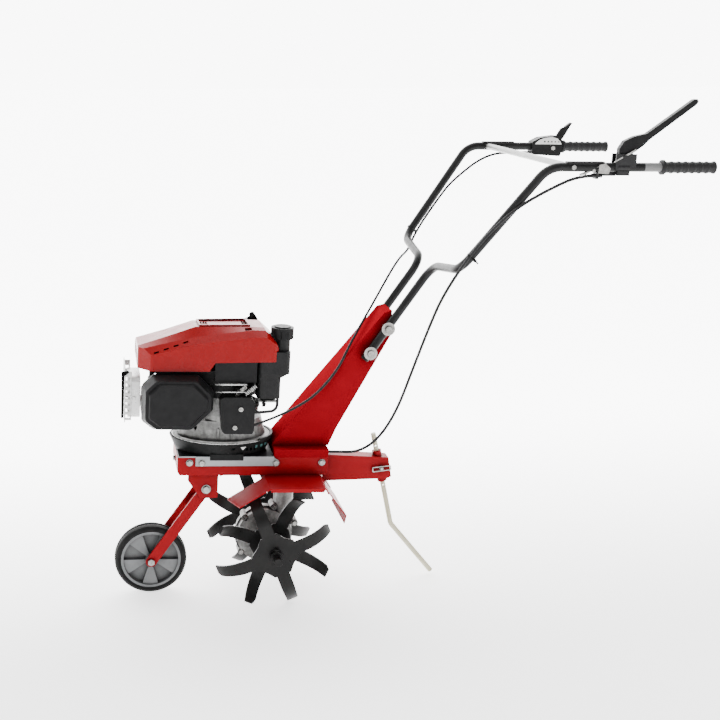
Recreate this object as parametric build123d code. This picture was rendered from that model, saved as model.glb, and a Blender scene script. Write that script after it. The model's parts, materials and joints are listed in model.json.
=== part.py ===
from build123d import *
import math
import os

os.makedirs("parts", exist_ok=True)

# Garden tiller with a vertical shaft engine, front transport wheel and worm gearbox.
# All sizes are millimetres. Everything is drawn in a design frame whose origin is the
# tine axis on the centre plane: x runs to the rear along the frame rails, y to the
# machine's right, z up. One stance transform at the end tips the machine nose up and
# sets it on the ground with the origin at the bottom centre of its box.

# stance
PITCH = 2.6             # nose up angle of the rails on level ground, degrees
TINE_PHASE = 20.0       # world angle of the first outer blade, degrees

# fits
RUN = 0.05              # radial running fit of a shaft in its bore
GAP = 0.4               # free gap between pieces that move past each other
HOLE = 0.2              # radial clearance of a bolt hole

# tines and tine shaft
TINE_R = 164.0          # radius of the blade tips
TINE_W = 36.0           # width of a blade strip
TINE_T = 5.0            # thickness of a blade strip
TINE_TIP = 31.0         # width of a blade at its tip
TINE_HOOK = 46.0        # sideways reach of the bent blade end
TINE_BEND = 58.0        # turn of the curled blade end, degrees
PLATE_R = 64.0          # star plate out to the blade roots
NOTCH_R = 55.0          # star plate between the blades
STAR_IN_Y = 96.0        # plane of the inner stars
STAR_OUT_Y = 166.0      # plane of the outer stars
SHAFT_R = 12.5          # tine shaft radius
HUB_R = 18.0            # hub tube radius
HUB_IN_Y = 43.0         # inner end of the inner hub
HUB_MID_Y = 128.0       # where inner and outer hubs meet
HUB_OUT_Y = 184.0       # outer end of the outer hub
STUB = 30.0             # bare shaft end for an extension star
STUB_R = 11.0           # radius of that end
STUB_PIN = 3.0          # cross hole in that end
PIN_R = 4.0             # cross pins through hub and shaft

# worm drive
GEAR_MODULE = 3.0
GEAR_TEETH = 20
WORM_D = 24.0           # worm pitch diameter
GEAR_FACE = 18.0        # face width of the worm wheel
WORM_SHAFT_R = 9.0
CASE_R = 77.0           # round body of the gear case
CASE_HALF = 25.0        # half thickness of the gear case
NECK_R = 27.0           # neck round the worm shaft
BOSS_R = 31.0           # side bosses round the tine shaft
BOSS_Y = 39.0           # outer face of the side bosses
CASE_C = (-10.0, -2.0)  # centre of the round body, x and z
LUGS = [(-66.0, 50.0), (13.0, 80.0), (74.0, 33.0), (-73.0, -52.0), (10.0, -80.0)]
LUG_BOLT_R = 3.0
FLANGE_T = 11.0         # flange bolted under the frame floor
SHAFT_BRG = 23.5        # outer radius of the tine shaft bearings
WORM_BRG = 16.0         # outer radius of the worm shaft bearings

# frame
RAIL_Y = 80.0           # outer face of a rail from the centre plane
RAIL_T = 4.0
RAIL_Z = 198.0          # underside of the rails
RAIL_H = 50.0
FRAME_X0 = -264.0
FRAME_X1 = 145.0
FLOOR_T = 4.0
PLATE_T = 4.0           # engine plate
STRIP_T = 3.0           # folded side of the engine plate
BOLT_R = 4.0            # main frame bolts
PLATE_X1 = -4.0         # rear edge of the engine plate, front edge of the column base

# engine
CRANK_X = -141.0        # crankshaft axis
RISER_H = 38.0          # cone between engine plate and engine flange
FLANGE_A = 133.0        # half length of the engine flange
FLANGE_B = 97.0         # half width of the engine flange
CRANK_R = 12.5
FLYWHEEL_R = 86.0
BLOWER_R = 97.0
COWL_HALF = 122.0       # half width of the cowl
COWL_Y2 = 100.0         # near shoulder, plateau edge and far edge of the cowl's top
COWL_Y3 = 76.0
COWL_Y4 = 25.0
COWL_T = 3.0            # wall of the cowl
CAP_R = 30.0            # fuel cap
CAP_X = 0.0
CAP_Y = -80.0
NECK_H = 34.0           # filler neck over the tank
CASE_H = 122.0          # height of the crankcase over its flange
BORE_H = 92.0           # height of the cylinder axis over the flange
BORE_R = 26.0           # cylinder bore
BODY_R = 78.0           # round body of the crankcase
HEAD_X = -318.0         # joint of cylinder and head
OIL_X = -48.0           # oil filler
OIL_Y = 46.0
OIL_H = 66.0
STARTER_R = 78.0        # recoil starter dome
BLOWER_H = 78.0
TANK_X0 = -62.0
TANK_X1 = 21.0
TANK_Y0 = -116.0
TANK_Y1 = -44.0
TANK_Z0 = 422.0
TANK_Z1 = 549.0
TANK_STEP = 22.0        # the lower part of the tank is this much shorter
TANK_LOW = 56.0         # height of that part
COWL_X0 = -376.0        # front of the cowl
COWL_X1 = -8.0          # rear of the cowl
COWL_Z = 608.0          # top of the cowl
# cowl sections: x, then the drop below the top at crease, shoulder, plateau, far edge, far wall
COWL_ST = [
    (COWL_X0, 78.0, 59.0, 54.0, 56.0, 92.0),
    (-300.0, 58.0, 40.0, 28.0, 33.0, 80.0),
    (-228.0, 38.0, 23.0, 2.0, 8.0, 66.0),
    (-77.0, 18.0, 4.0, 0.0, 4.0, 50.0),
    (-47.0, 18.0, 5.0, 2.0, 5.0, 50.0),
    (-18.0, 38.0, 31.0, 29.0, 31.0, 56.0),
    (COWL_X1, 60.0, 58.0, 56.0, 58.0, 70.0),
]
ROPE_X = -66.0          # starter grip on the far shoulder of the cowl
ROPE_Y = 100.0
ROPE_Z = 586.0
ROPE_R = 2.0
ROPE_DX = 0.86
ROPE_DZ = 0.5103
ROPE_PULL = 150.0
AF_X0 = -366.0          # air filter
AF_X1 = -180.0
AF_Z0 = 344.0
AF_Z1 = 490.0
AF_Y0 = -168.0
AF_YM = -128.0
CARB_X = -212.0
CARB_Z = 400.0
CTRL_X0 = -163.0        # control cover
CTRL_X1 = -70.0
CTRL_Z0 = 331.0
CTRL_Z1 = 431.0
CTRL_Y0 = -130.0
CTRL_SCREWS = [(-107.0, 399.0), (-121.0, 349.0)]
ARM_X = -112.0          # throttle arm pivot above the control cover
ARM_Y = -112.0
MUFF_X0 = -398.0
MUFF_X1 = -366.0

# belt drive
DRIVE_R = 32.0          # pitch radius of the engine pulley
DRIVEN_R = 58.0         # pitch radius of the gearbox pulley
PULLEY_H = 18.0
BELT_W = 10.0           # belt width at its outer side
BELT_H = 8.0            # belt depth
IDLER_R = 15.0
IDLER_TURN = 11.0       # swing of the idler arm, degrees
IDLER_PX = -86.0        # idler arm pivot
IDLER_PY = 12.0

# wheel
WHEEL_R = 100.0
WHEEL_W = 44.0
RIM_R = 83.0
AXLE_R = 6.0
AXLE_X = -325.0
FORK_X = -180.0         # fork pivot
FORK_Z = 142.0
FORK_W = 30.0           # width of a fork arm
FORK_T = 5.0
BRACKET_Y = 38.0        # outer face of the wheel bracket
BRACKET_T = 3.0

# guard
GUARD_Y = 186.0
GUARD_T = 2.5
GUARD_HEAD = 50.0       # half width of the opening for the gearbox
GUARD_X0 = -27.0        # front and rear fold of the guard
GUARD_X1 = 122.0
FRONT_FLAP = 120.0      # length of the front flap
REAR_FLAP = 97.0        # length of the rear flap
FLAP_ANGLE = 52.0       # drop of the rear flap, degrees

# handle column and handlebars
COL_Y = 45.0            # outer face of the column sides
COL_T = 3.0
TUBE_R = 11.0
TUBE_T = 2.0
HANDLE_X = 244.0        # lower handle bolt
HANDLE_Z = 537.0
HANDLE_ANGLE = 57.2     # slope of the lower straight
HANDLE_PITCH = 80.0     # distance between the two handle bolts
GRIP_Y = 310.0          # half spacing of the grips
GRIP_R = 15.5
GRIP_LEN = 140.0
HANDLE_RAD = (52.0, 52.0, 62.0)
BRACE_BACK = 360.0      # cross brace ahead of the grip end
LEVER_BACK = 234.0      # clutch lever pivot ahead of the grip end
LEVER_UP = 24.0
LEVER_TURN = 28.0
THROTTLE_BACK = 176.0   # throttle body centre ahead of the grip end
THROTTLE_PX = 29.0      # throttle lever pivot
THROTTLE_PZ = 19.0
PIVOT_R = 3.0           # lever pivots
CABLE_R = 3.0
SEAM = 0.05
CABLE_IN_Y = -58.0      # where the clutch cable enters the column base

# hitch and spur
HITCH_Y = 20.0
SPUR_R = 7.0
SPUR_TILT = 14.7        # lean of the spur from the design vertical, degrees
SPUR_X = 310.7          # spur axis at the pin
SPUR_Z = 196.0

# derived sizes
BLADE_R = math.sqrt(TINE_R ** 2 - (TINE_TIP / 2) ** 2)
PHI = math.radians(TINE_PHASE)
AXIS_H = BLADE_R * math.cos(PHI) + TINE_TIP / 2 * math.sin(PHI)
COSP = math.cos(math.radians(PITCH))
SINP = math.sin(math.radians(PITCH))
AXLE_Z = (WHEEL_R - AXIS_H + AXLE_X * SINP) / COSP
GEAR_R = GEAR_MODULE * GEAR_TEETH / 2
WORM_X = GEAR_R + WORM_D / 2
WORM_PITCH = math.pi * GEAR_MODULE
RAIL_TOP = RAIL_Z + RAIL_H
RAIL_IN = RAIL_Y - RAIL_T
DECK_Z = RAIL_TOP + PLATE_T
FLANGE_Z = DECK_Z + RISER_H
BELT_Z = RAIL_Z + 24.0
SHAFT_END = HUB_OUT_Y + STUB
HDX = math.cos(math.radians(HANDLE_ANGLE))
HDZ = math.sin(math.radians(HANDLE_ANGLE))
TUBE_Y = COL_Y + TUBE_R
BOLT2_X = HANDLE_X + HANDLE_PITCH * HDX
BOLT2_Z = HANDLE_Z + HANDLE_PITCH * HDZ
KNEE_X = HANDLE_X + 283.0 * HDX
KNEE_Z = HANDLE_Z + 283.0 * HDZ
BEND_X = KNEE_X + 186.0
BEND_Z = KNEE_Z + 288.0
GRIP_X1 = BEND_X + 417.0
GRIP_Z1 = BEND_Z + 12.0
FLAP_A = math.radians(FLAP_ANGLE)
FORK_Y = BRACKET_Y - BRACKET_T - 1.0
CASE_TOP = FLANGE_Z + CASE_H
BORE_Z = FLANGE_Z + BORE_H
BLOWER_Z0 = CASE_TOP + 6.0
BLOWER_Z1 = BLOWER_Z0 + BLOWER_H
FOOT_Z = CASE_TOP + 4.0
CTRL_Y1 = -BLOWER_R - 4.0
ARM_Z = CTRL_Z1 + 10.0
GRIP_SLOPE = math.degrees(math.atan2(GRIP_Z1 - BEND_Z, GRIP_X1 - BEND_X))
SUX = -math.sin(math.radians(SPUR_TILT))
SUZ = math.cos(math.radians(SPUR_TILT))


def world(x, z):
    """Height of a design point above the ground."""
    return AXIS_H - x * SINP + z * COSP


FRONT_X = AXLE_X * COSP + AXLE_Z * SINP - WHEEL_R
REAR_X = (GRIP_X1 + 4.0) * COSP + GRIP_Z1 * SINP + GRIP_R * SINP
SHIFT_X = -(FRONT_X + REAR_X) / 2


# plain helpers
def box(x0, x1, y0, y1, z0, z1):
    mid = Pos((x0 + x1) / 2, (y0 + y1) / 2, (z0 + z1) / 2)
    return mid * Box(x1 - x0, y1 - y0, z1 - z0)


def cyl_z(x, y, r, z0, z1):
    return Pos(x, y, (z0 + z1) / 2) * Cylinder(r, z1 - z0)


def cyl_y(x, z, r, y0, y1):
    return Pos(x, (y0 + y1) / 2, z) * Rot(90, 0, 0) * Cylinder(r, y1 - y0)


def cyl_x(y, z, r, x0, x1):
    return Pos((x0 + x1) / 2, y, z) * Rot(0, 90, 0) * Cylinder(r, x1 - x0)


def outline(pts, rad=0.0):
    f = make_face(Polyline(*pts, close=True)).face()
    if rad:
        f = f.fillet_2d(rad, f.vertices())
    return f


def plate_y(pts, y0, y1, rad=0.0):
    pl = Plane(origin=(0, y1, 0), x_dir=(1, 0, 0), z_dir=(0, -1, 0))
    return extrude(pl * outline(pts, rad), amount=y1 - y0)


def plate_z(pts, z0, z1, rad=0.0):
    return extrude(Pos(0, 0, z0) * outline(pts, rad), amount=z1 - z0)


def plate_x(pts, x0, x1, rad=0.0):
    pl = Plane(origin=(x0, 0, 0), x_dir=(0, 1, 0), z_dir=(1, 0, 0))
    return extrude(pl * outline(pts, rad), amount=x1 - x0)


def rect(x0, x1, y0, y1):
    return [(x0, y0), (x1, y0), (x1, y1), (x0, y1)]


def strap(xa, za, xb, zb, w, y0, y1):
    """Flat bar with round ends between two points of the side view."""
    d = Vector(xb - xa, 0, zb - za)
    pl = Plane(
        origin=((xa + xb) / 2, y1, (za + zb) / 2),
        x_dir=(d.X, d.Y, d.Z),
        z_dir=(0, -1, 0),
    )
    return extrude(pl * SlotCenterToCenter(d.length, w), amount=y1 - y0)


def roomy(pts, rad):
    """Corner radii held to what the straight runs beside each corner leave room for."""
    v = [Vector(*p) for p in pts]
    n = len(v) - 2
    want = [rad] * n if isinstance(rad, (int, float)) else list(rad)
    out = []
    for k in range(n):
        a = v[k + 1] - v[k]
        b = v[k + 2] - v[k + 1]
        la = a.length if k == 0 else a.length / 2
        lb = b.length if k == n - 1 else b.length / 2
        half = math.radians(a.get_angle(b)) / 2
        most = 0.96 * min(la, lb) / max(math.tan(half), 1e-6)
        out.append(min(want[k], most))
    return out


def pipe(pts, rad, r, r_in=0.0):
    path = FilletPolyline(*pts, radius=roomy(pts, rad))
    pl = Plane(origin=path @ 0, z_dir=path % 0)
    sec = Circle(r)
    if r_in:
        sec = sec - Circle(r_in)
    return sweep(pl * sec, path=path)


def bolt(p, d, r, length, head_r, head_h, washer=0.0, nut_at=0.0):
    """Hex bolt whose washer face sits at p and whose shank runs along d."""
    pl = Plane(origin=p, z_dir=d)
    t = 1.5 if washer else 0.0
    s = Pos(0, 0, (length - t) / 2) * Cylinder(r, length + t)
    s += Pos(0, 0, -t - head_h) * extrude(RegularPolygon(head_r, 6), head_h)
    if washer:
        s += Pos(0, 0, -t / 2) * Cylinder(washer, t)
    if nut_at:
        s += Pos(0, 0, nut_at) * extrude(RegularPolygon(head_r, 6), head_h)
    return pl * s


def bore(p, d, r, length):
    pl = Plane(origin=p, z_dir=d)
    return pl * (Pos(0, 0, length / 2) * Cylinder(r, length))


# side bolts of the frame: x, and whether a folded strip lies under the head
SIDE_BOLTS = [(-232.0, 0.0), (-199.0, STRIP_T), (1.0, STRIP_T), (128.0, 0.0)]
SIDE_BOLT_Z = RAIL_TOP - 14.0
BRACKET_BOLTS = [(-215.0, 0.0), (-165.0, 0.0)]
NECK_BOLTS = [(WORM_X + i * 34.0, j * 34.0) for i in (-1, 1) for j in (-1, 1)]
GUARD_BOLTS = [(-8.0, 64.0), (112.0, 64.0), (-8.0, -64.0), (112.0, -64.0)]
HITCH_BOLTS = [(i * 9.5, RAIL_Z + 17 + j * 7) for i in (-1, 1) for j in (-1, 1)]
PLATE_BOLTS = [(CRANK_X + i * 72.0, j * 52.0) for i in (-1, 1) for j in (-1, 1)]


def chassis_frame():
    z0, z1 = RAIL_Z, RAIL_TOP
    side = [
        (FRAME_X0, z0 + 10), (FRAME_X0 + 6, z0), (FRAME_X1, z0), (FRAME_X1, z1), (FRAME_X0, z1),
    ]
    s = plate_y(side, RAIL_IN, RAIL_Y) + plate_y(side, -RAIL_Y, -RAIL_IN)
    s += box(FRAME_X0 + 6, FORK_X + 42, -RAIL_IN, RAIL_IN, z0, z0 + FLOOR_T)
    s += box(WORM_X - 76, FRAME_X1, -RAIL_IN, RAIL_IN, z0, z0 + FLOOR_T)
    for j in (-1, 1):
        y0, y1 = sorted((j * (RAIL_IN - 24), j * RAIL_IN))
        s += box(FORK_X, WORM_X, y0, y1, z0, z0 + FLOOR_T)
    s += box(FRAME_X0, FRAME_X0 + RAIL_T, -RAIL_IN, RAIL_IN, z0 + 10, z1)
    s += box(FRAME_X1 - RAIL_T, FRAME_X1, -RAIL_IN, RAIL_IN, z0, z1)
    for x, t in SIDE_BOLTS:
        s -= cyl_y(x, SIDE_BOLT_Z, BOLT_R + HOLE, -RAIL_Y - 1, RAIL_Y + 1)
    for x, y in BRACKET_BOLTS:
        s -= cyl_z(x, y, BOLT_R + HOLE, z0 - 1, z0 + FLOOR_T + 1)
    for x, y in NECK_BOLTS + GUARD_BOLTS:
        s -= cyl_z(x, y, BOLT_R + HOLE, z0 - 1, z0 + FLOOR_T + 1)
    for y, z in HITCH_BOLTS:
        s -= cyl_x(y, z, BOLT_R - 1 + HOLE, FRAME_X1 - RAIL_T - 1, FRAME_X1 + 1)
    s -= cyl_x(0, z0 + 22, BOLT_R + HOLE, FRAME_X0 - 1, FRAME_X0 + RAIL_T + 1)
    s -= cyl_z(WORM_X, 0, WORM_SHAFT_R + 5, z0 - 1, z0 + FLOOR_T + 1)
    return s


def engine_plate():
    z0 = RAIL_TOP
    x1 = PLATE_X1
    s = plate_z(rect(FRAME_X0 + 2, x1, -RAIL_Y, RAIL_Y), z0, DECK_Z)
    s -= cyl_z(CRANK_X, 0, DRIVE_R + 14, z0 - 1, DECK_Z + 1)
    for x, y in PLATE_BOLTS:
        s -= cyl_z(x, y, BOLT_R + HOLE, z0 - 1, DECK_Z + 1)
    out = [s + cyl_z(IDLER_PX, IDLER_PY, 8.0, z0 - 1, DECK_Z)]
    out[0] -= cyl_z(IDLER_PX, IDLER_PY, 30.0, z0 - 5, z0)
    for j in (-1, 1):
        y0, y1 = sorted((j * RAIL_Y, j * (RAIL_Y + STRIP_T)))
        fold = [
            (-216, z0 - 23), (x1 + 11, z0 - 23), (x1 + 11, z0 - 6),
            (x1, z0), (x1, DECK_Z), (-216, DECK_Z),
        ]
        f = plate_y(fold, y0, y1)
        for x, t in SIDE_BOLTS:
            f -= cyl_y(x, SIDE_BOLT_Z, BOLT_R + HOLE, -RAIL_Y - 9, RAIL_Y + 9)
        out.append(f)
    out.append(idler_post() - box(IDLER_PX - 20, IDLER_PX + 20, IDLER_PY - 20, IDLER_PY + 20, z0, DECK_Z + 1))
    return Compound(children=out)


def cut_up(s, tools):
    """The solids that each tool takes from s in turn, and the rest, a hair's breadth apart."""
    out = []
    for small, large in zip(tools(0.0), tools(SEAM)):
        out += (s & small).solids()
        s = s - large
    return Compound(children=out + list(s.solids()))


def ellipse_face(a, b, z):
    return Pos(CRANK_X, 0, z) * Ellipse(a, b)


def engine_riser():
    a0, b0 = FLANGE_A - 9, FLANGE_B - 15
    a1, b1 = FLANGE_A + 8, FLANGE_B - 1
    w = 5.0
    zt = FLANGE_Z
    zb = DECK_Z
    s = loft([ellipse_face(a0, b0, zb), ellipse_face(a1, b1, zt)])
    hole = loft([ellipse_face(a0 - w, b0 - w, zb - 0.01), ellipse_face(a1 - w, b1 - w, zt + 0.01)])
    s -= hole
    for x, y in PLATE_BOLTS:
        post = cyl_z(x, y, 9, zb, zt)
        s += post
    for x, y in PLATE_BOLTS:
        s -= cyl_z(x, y, BOLT_R + HOLE, zb - 1, zt + 1)
    tri = [(CRANK_X + 17, zb + 26), (CRANK_X + 31, zb + 26), (CRANK_X + 24, zb + 16)]
    s -= plate_y(tri, -FLANGE_B, 0)
    for k in (62, 74, 86):
        s -= plate_y(rect(CRANK_X + k - 3, CRANK_X + k + 3, zb + 14, zb + 24), -FLANGE_B, 0)
    tab = [(-178, zb - 10), (-88, zb - 10), (-88, zb + 7), (-178, zb + 7)]
    y_in = RAIL_Y + STRIP_T
    s += plate_y(tab, -y_in - 3, -y_in)
    web = box(-178, -88, -y_in - 0.5, -b0 + 8, zb, zb + 7)
    inner = loft([ellipse_face(a0 - 2, b0 - 2, zb - 0.01), ellipse_face(a1 - 2, b1 - 2, zt + 0.01)])
    s += web - inner
    rim = extrude(ellipse_face(a1, b1 + 8, zt - 1), 11) - extrude(ellipse_face(FLANGE_A + 1, FLANGE_B + 1, zt - 2), 14)
    rim &= box(CRANK_X + 96, CRANK_X + 160, -80, 80, zt - 2, zt + 20)
    return s + rim


def handle_column():
    z0 = RAIL_TOP
    zb = z0 + 23
    x0, x1 = PLATE_X1, FRAME_X1
    y = RAIL_Y - COL_T
    s = box(x0, x1, -RAIL_Y, RAIL_Y, z0, zb)
    s -= box(x0 + COL_T, x1 - COL_T, -y, y, z0 - 1, zb - COL_T)
    top = [(280, 644), (300, 650)]
    front = [(x0, zb), (x0, zb + 8), top[0], top[1], (301, 582), (169, 320), (x1 + 5, zb)]
    sides = plate_y(front, -COL_Y, -COL_Y + COL_T) + plate_y(front, COL_Y - COL_T, COL_Y)
    d = Vector(top[0][0] - x0, 0, top[0][1] - zb - 8).normalized()
    n = Vector(d.Z, 0, -d.X) * COL_T
    strip = [(x0, zb + 8), top[0], (top[0][0] + n.X, top[0][1] + n.Z), (x0 + n.X, zb + 8 + n.Z)]
    cap = [top[0], top[1], (top[1][0], top[1][1] - COL_T), (top[0][0] + n.X, top[0][1] + n.Z)]
    s += sides + plate_y(strip, -COL_Y, COL_Y) + plate_y(cap, -COL_Y, COL_Y)
    s += box(x0, x0 + COL_T + 1, -COL_Y, COL_Y, zb - 1, zb + 8)
    lip = [(x1 + 5, zb), (169, 320), (301, 582), (301 - 3, 582), (169 - 3, 321), (x1 + 2, zb)]
    for j in (-1, 1):
        y0, y1 = sorted((j * (COL_Y - 12), j * (COL_Y - COL_T + 0.5)))
        s += plate_y(lip, y0, y1)
    for x, z in ((HANDLE_X, HANDLE_Z), (BOLT2_X, BOLT2_Z)):
        s -= cyl_y(x, z, BOLT_R + HOLE, -COL_Y - 1, COL_Y + 1)
    s -= cyl_x(CABLE_IN_Y, zb - 12, 5, x1 - COL_T - 1, x1 + 1)
    for x, t in SIDE_BOLTS:
        s -= box(x - 8, x + 8, -RAIL_Y - 1, RAIL_Y + 1, z0 - 40, z0 - 0.01)
    return s


def tine_guard():
    zt = RAIL_Z
    t = GUARD_T
    fx, rx = GUARD_X0, GUARD_X1
    a = math.radians(32.5)
    fl = FRONT_FLAP
    rl = REAR_FLAP
    p0 = (fx - fl * math.cos(a), zt - fl * math.sin(a))
    p1 = (fx, zt)
    p2 = (rx, zt)
    p3 = (rx + rl * math.cos(FLAP_A), zt - rl * math.sin(FLAP_A))
    p4 = (p3[0] - 4, p3[1] - 22)
    q1 = (fx + t * math.tan(a / 2), zt - t)
    q2 = (rx - t * math.tan(FLAP_A / 2), zt - t)
    q0 = (p0[0] + t * math.sin(a), p0[1] - t * math.cos(a))
    q3 = (p3[0] - t * 1.25, p3[1] - t * 0.35)
    q4 = (p4[0] - t, p4[1] + 0.6)
    s = plate_y([p0, p1, p2, p3, p4, q4, q3, q2, q1, q0], -GUARD_Y, GUARD_Y)
    s -= box(WORM_X - 58, WORM_X + 56, -GUARD_HEAD, GUARD_HEAD, zt - 40, zt + 1)
    s -= box(-140, fx - 10, -RAIL_Y - 8, RAIL_Y + 8, zt - 80, zt + 1)
    s -= box(rx + 8, p3[0] + 30, -HITCH_Y - 4, HITCH_Y + 4, zt - 140, zt + 1)
    for x, y in GUARD_BOLTS:
        s -= cyl_z(x, y, BOLT_R + HOLE, zt - 10, zt + 1)
    corner = [
        (p0[0] - 30, GUARD_Y + 5), (p0[0] + 25, GUARD_Y + 5),
        (p0[0] + 22, GUARD_Y), (p0[0], RAIL_Y + 8), (p0[0] - 30, RAIL_Y + 8),
    ]
    c = plate_z(corner, zt - 120, zt)
    s -= c
    s -= mirror(c, about=Plane.XZ)
    for j in (-1, 1):
        y0, y1 = sorted((j * (GUARD_Y - t), j * GUARD_Y))
        s += plate_y([p1, p2, (p2[0] - 6, p2[1] - 10), (p1[0] + 3, p1[1] - 10)], y0, y1)
    return s


def hitch_bar():
    x0 = FRAME_X1
    pts = [(x0, 158), (x0, 236), (171, 234), (330, 226), (342, 170), (330, 164)]
    inn = [(x0 + 4, 162), (x0 + 4, 231.5), (171, 229.5), (320, 222), (330, 174), (325, 169)]
    s = plate_y(pts, -HITCH_Y, HITCH_Y) - plate_y(inn, -HITCH_Y + 4, HITCH_Y - 4)
    s -= box(x0 + 10, 150 + 130, -HITCH_Y + 4, HITCH_Y - 4, 150, 180)
    c = (SPUR_X, 0, SPUR_Z)
    pl = Plane(origin=c, z_dir=(SUX, 0, SUZ))
    s += pl * (Pos(0, 0, 1) * Cylinder(SPUR_R + 6, 92))
    s -= pl * Cylinder(SPUR_R + HOLE, 200)
    s -= cyl_y(SPUR_X, SPUR_Z, 4.0 + RUN, -60, 60)
    for y, z in HITCH_BOLTS:
        s -= cyl_x(y, z, BOLT_R - 1 + HOLE, x0 - 1, x0 + 20)
    return s


def spur_points():
    top = (SPUR_X + SUX * 98.0, 0, SPUR_Z + SUZ * 98.0)
    knee = (SPUR_X - SUX * 181.0, 0, SPUR_Z - SUZ * 181.0)
    a = math.radians(48.6)
    ground = SPUR_R + 2.5
    n = (world(knee[0], knee[2]) - ground) / (math.cos(a) * SINP + math.sin(a) * COSP)
    tip = (knee[0] + n * math.cos(a), 0, knee[2] - n * math.sin(a))
    return top, knee, tip


def depth_spur():
    s = pipe(spur_points(), 34.0, SPUR_R)
    for k in (-60, 0, 60):
        x = SPUR_X + SUX * k
        z = SPUR_Z + SUZ * k
        s -= cyl_y(x, z, 4.0 + RUN, -20, 20)
    return s


def spur_pin():
    y = -HITCH_Y - 8
    s = cyl_y(SPUR_X, SPUR_Z, 4.0, -HITCH_Y - 12, HITCH_Y + 10)
    s += cyl_y(SPUR_X, SPUR_Z, 6.0, -HITCH_Y - 4, -HITCH_Y - GAP)
    bail = plate_y(rect(-27, 27, -7.5, 7.5), y - 1.3, y + 1.3, 4) - plate_y(rect(-24.4, 24.4, -4.9, 4.9), y - 2, y + 2, 2)
    bail += box(-1.3, 1.3, y - 1.3, y + 1.3, -6, 6)
    return s + Pos(SPUR_X, 0, SPUR_Z) * Rot(0, -7, 0) * bail


def wheel_bracket():
    zt = RAIL_Z
    s = box(-231, -148, -BRACKET_Y, BRACKET_Y, zt - BRACKET_T, zt)
    pts = [(-231, zt), (-148, zt), (-148, 118), (-164, FORK_Z - 26), (-196, FORK_Z - 26), (-231, 168)]
    y_in = BRACKET_Y - BRACKET_T
    s += plate_y(pts, -BRACKET_Y, -y_in) + plate_y(pts, y_in, BRACKET_Y)
    s -= cyl_y(FORK_X, FORK_Z, AXLE_R + HOLE, -60, 60)
    for x, y in BRACKET_BOLTS:
        s -= cyl_z(x, y, BOLT_R + HOLE, zt - 10, zt + 1)
    return s


def wheel_fork():
    y1 = FORK_Y
    y0 = y1 - FORK_T
    s = strap(FORK_X, FORK_Z, AXLE_X, AXLE_Z, FORK_W, y0, y1)
    s += strap(FORK_X, FORK_Z, AXLE_X, AXLE_Z, FORK_W, -y1, -y0)
    s += cyl_y(FORK_X, FORK_Z, AXLE_R + 4, -y0 - 1, y0 + 1)
    d = Vector(AXLE_X - FORK_X, 0, AXLE_Z - FORK_Z).normalized()
    c = Vector(FORK_X, 0, FORK_Z) + d * 62
    pl = Plane(origin=c, x_dir=d, z_dir=(0, -1, 0))
    s += pl * Box(34, 5, 2 * y0 + 2)
    s -= cyl_y(FORK_X, FORK_Z, AXLE_R + RUN, -60, 60)
    s -= cyl_y(AXLE_X, AXLE_Z, AXLE_R + RUN, -60, 60)
    return s


def fork_pivot_bolt():
    y = BRACKET_Y
    s = bolt((FORK_X, -y, FORK_Z), (0, 1, 0), AXLE_R, 2 * y + 12, 10, 7, 13, 2 * y)
    return s


def wheel_axle():
    y = FORK_Y
    s = bolt((AXLE_X, -y, AXLE_Z), (0, 1, 0), AXLE_R, 2 * y + 11, 10, 7, 0, 2 * y)
    return s


def wheel_rim():
    h = WHEEL_W / 2
    s = cyl_y(0, 0, RIM_R, -h + 3, h - 3) - cyl_y(0, 0, RIM_R - 7, -h, h)
    s += cyl_y(0, 0, RIM_R - 6, -3, 3)
    s += cyl_y(0, 0, 15, -FORK_Y + FORK_T + 1, FORK_Y - FORK_T - 1)
    for k in range(5):
        r0 = 12.0
        r1 = RIM_R - 5
        w0, w1 = 0.3 * r0, 0.3 * r1
        wedge = [(r0, -w0), (r1, -w1), (r1, w1), (r0, w0)]
        s += Rot(0, -54 - 72.0 * k, 0) * plate_y(wedge, -h + 7, h - 7)
    s -= cyl_y(0, 0, AXLE_R + RUN, -60, 60)
    return Pos(AXLE_X, 0, AXLE_Z) * s


def tyre():
    h = WHEEL_W / 2
    r0, r1 = RIM_R, WHEEL_R
    prof = [
        (r0, -h + 3), (r0 + 6, -h), (r1 - 7, -h + 1), (r1 - 2, -h + 6), (r1, -h + 14),
        (r1, -4), (r1 - 3, -3), (r1 - 3, 3), (r1, 4),
        (r1, h - 14), (r1 - 2, h - 6), (r1 - 7, h - 1), (r0 + 6, h), (r0, h - 3),
    ]
    face = Plane.XY * outline(prof)
    s = revolve(face, Axis.Y, 360)
    return Pos(AXLE_X, 0, AXLE_Z) * s


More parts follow.
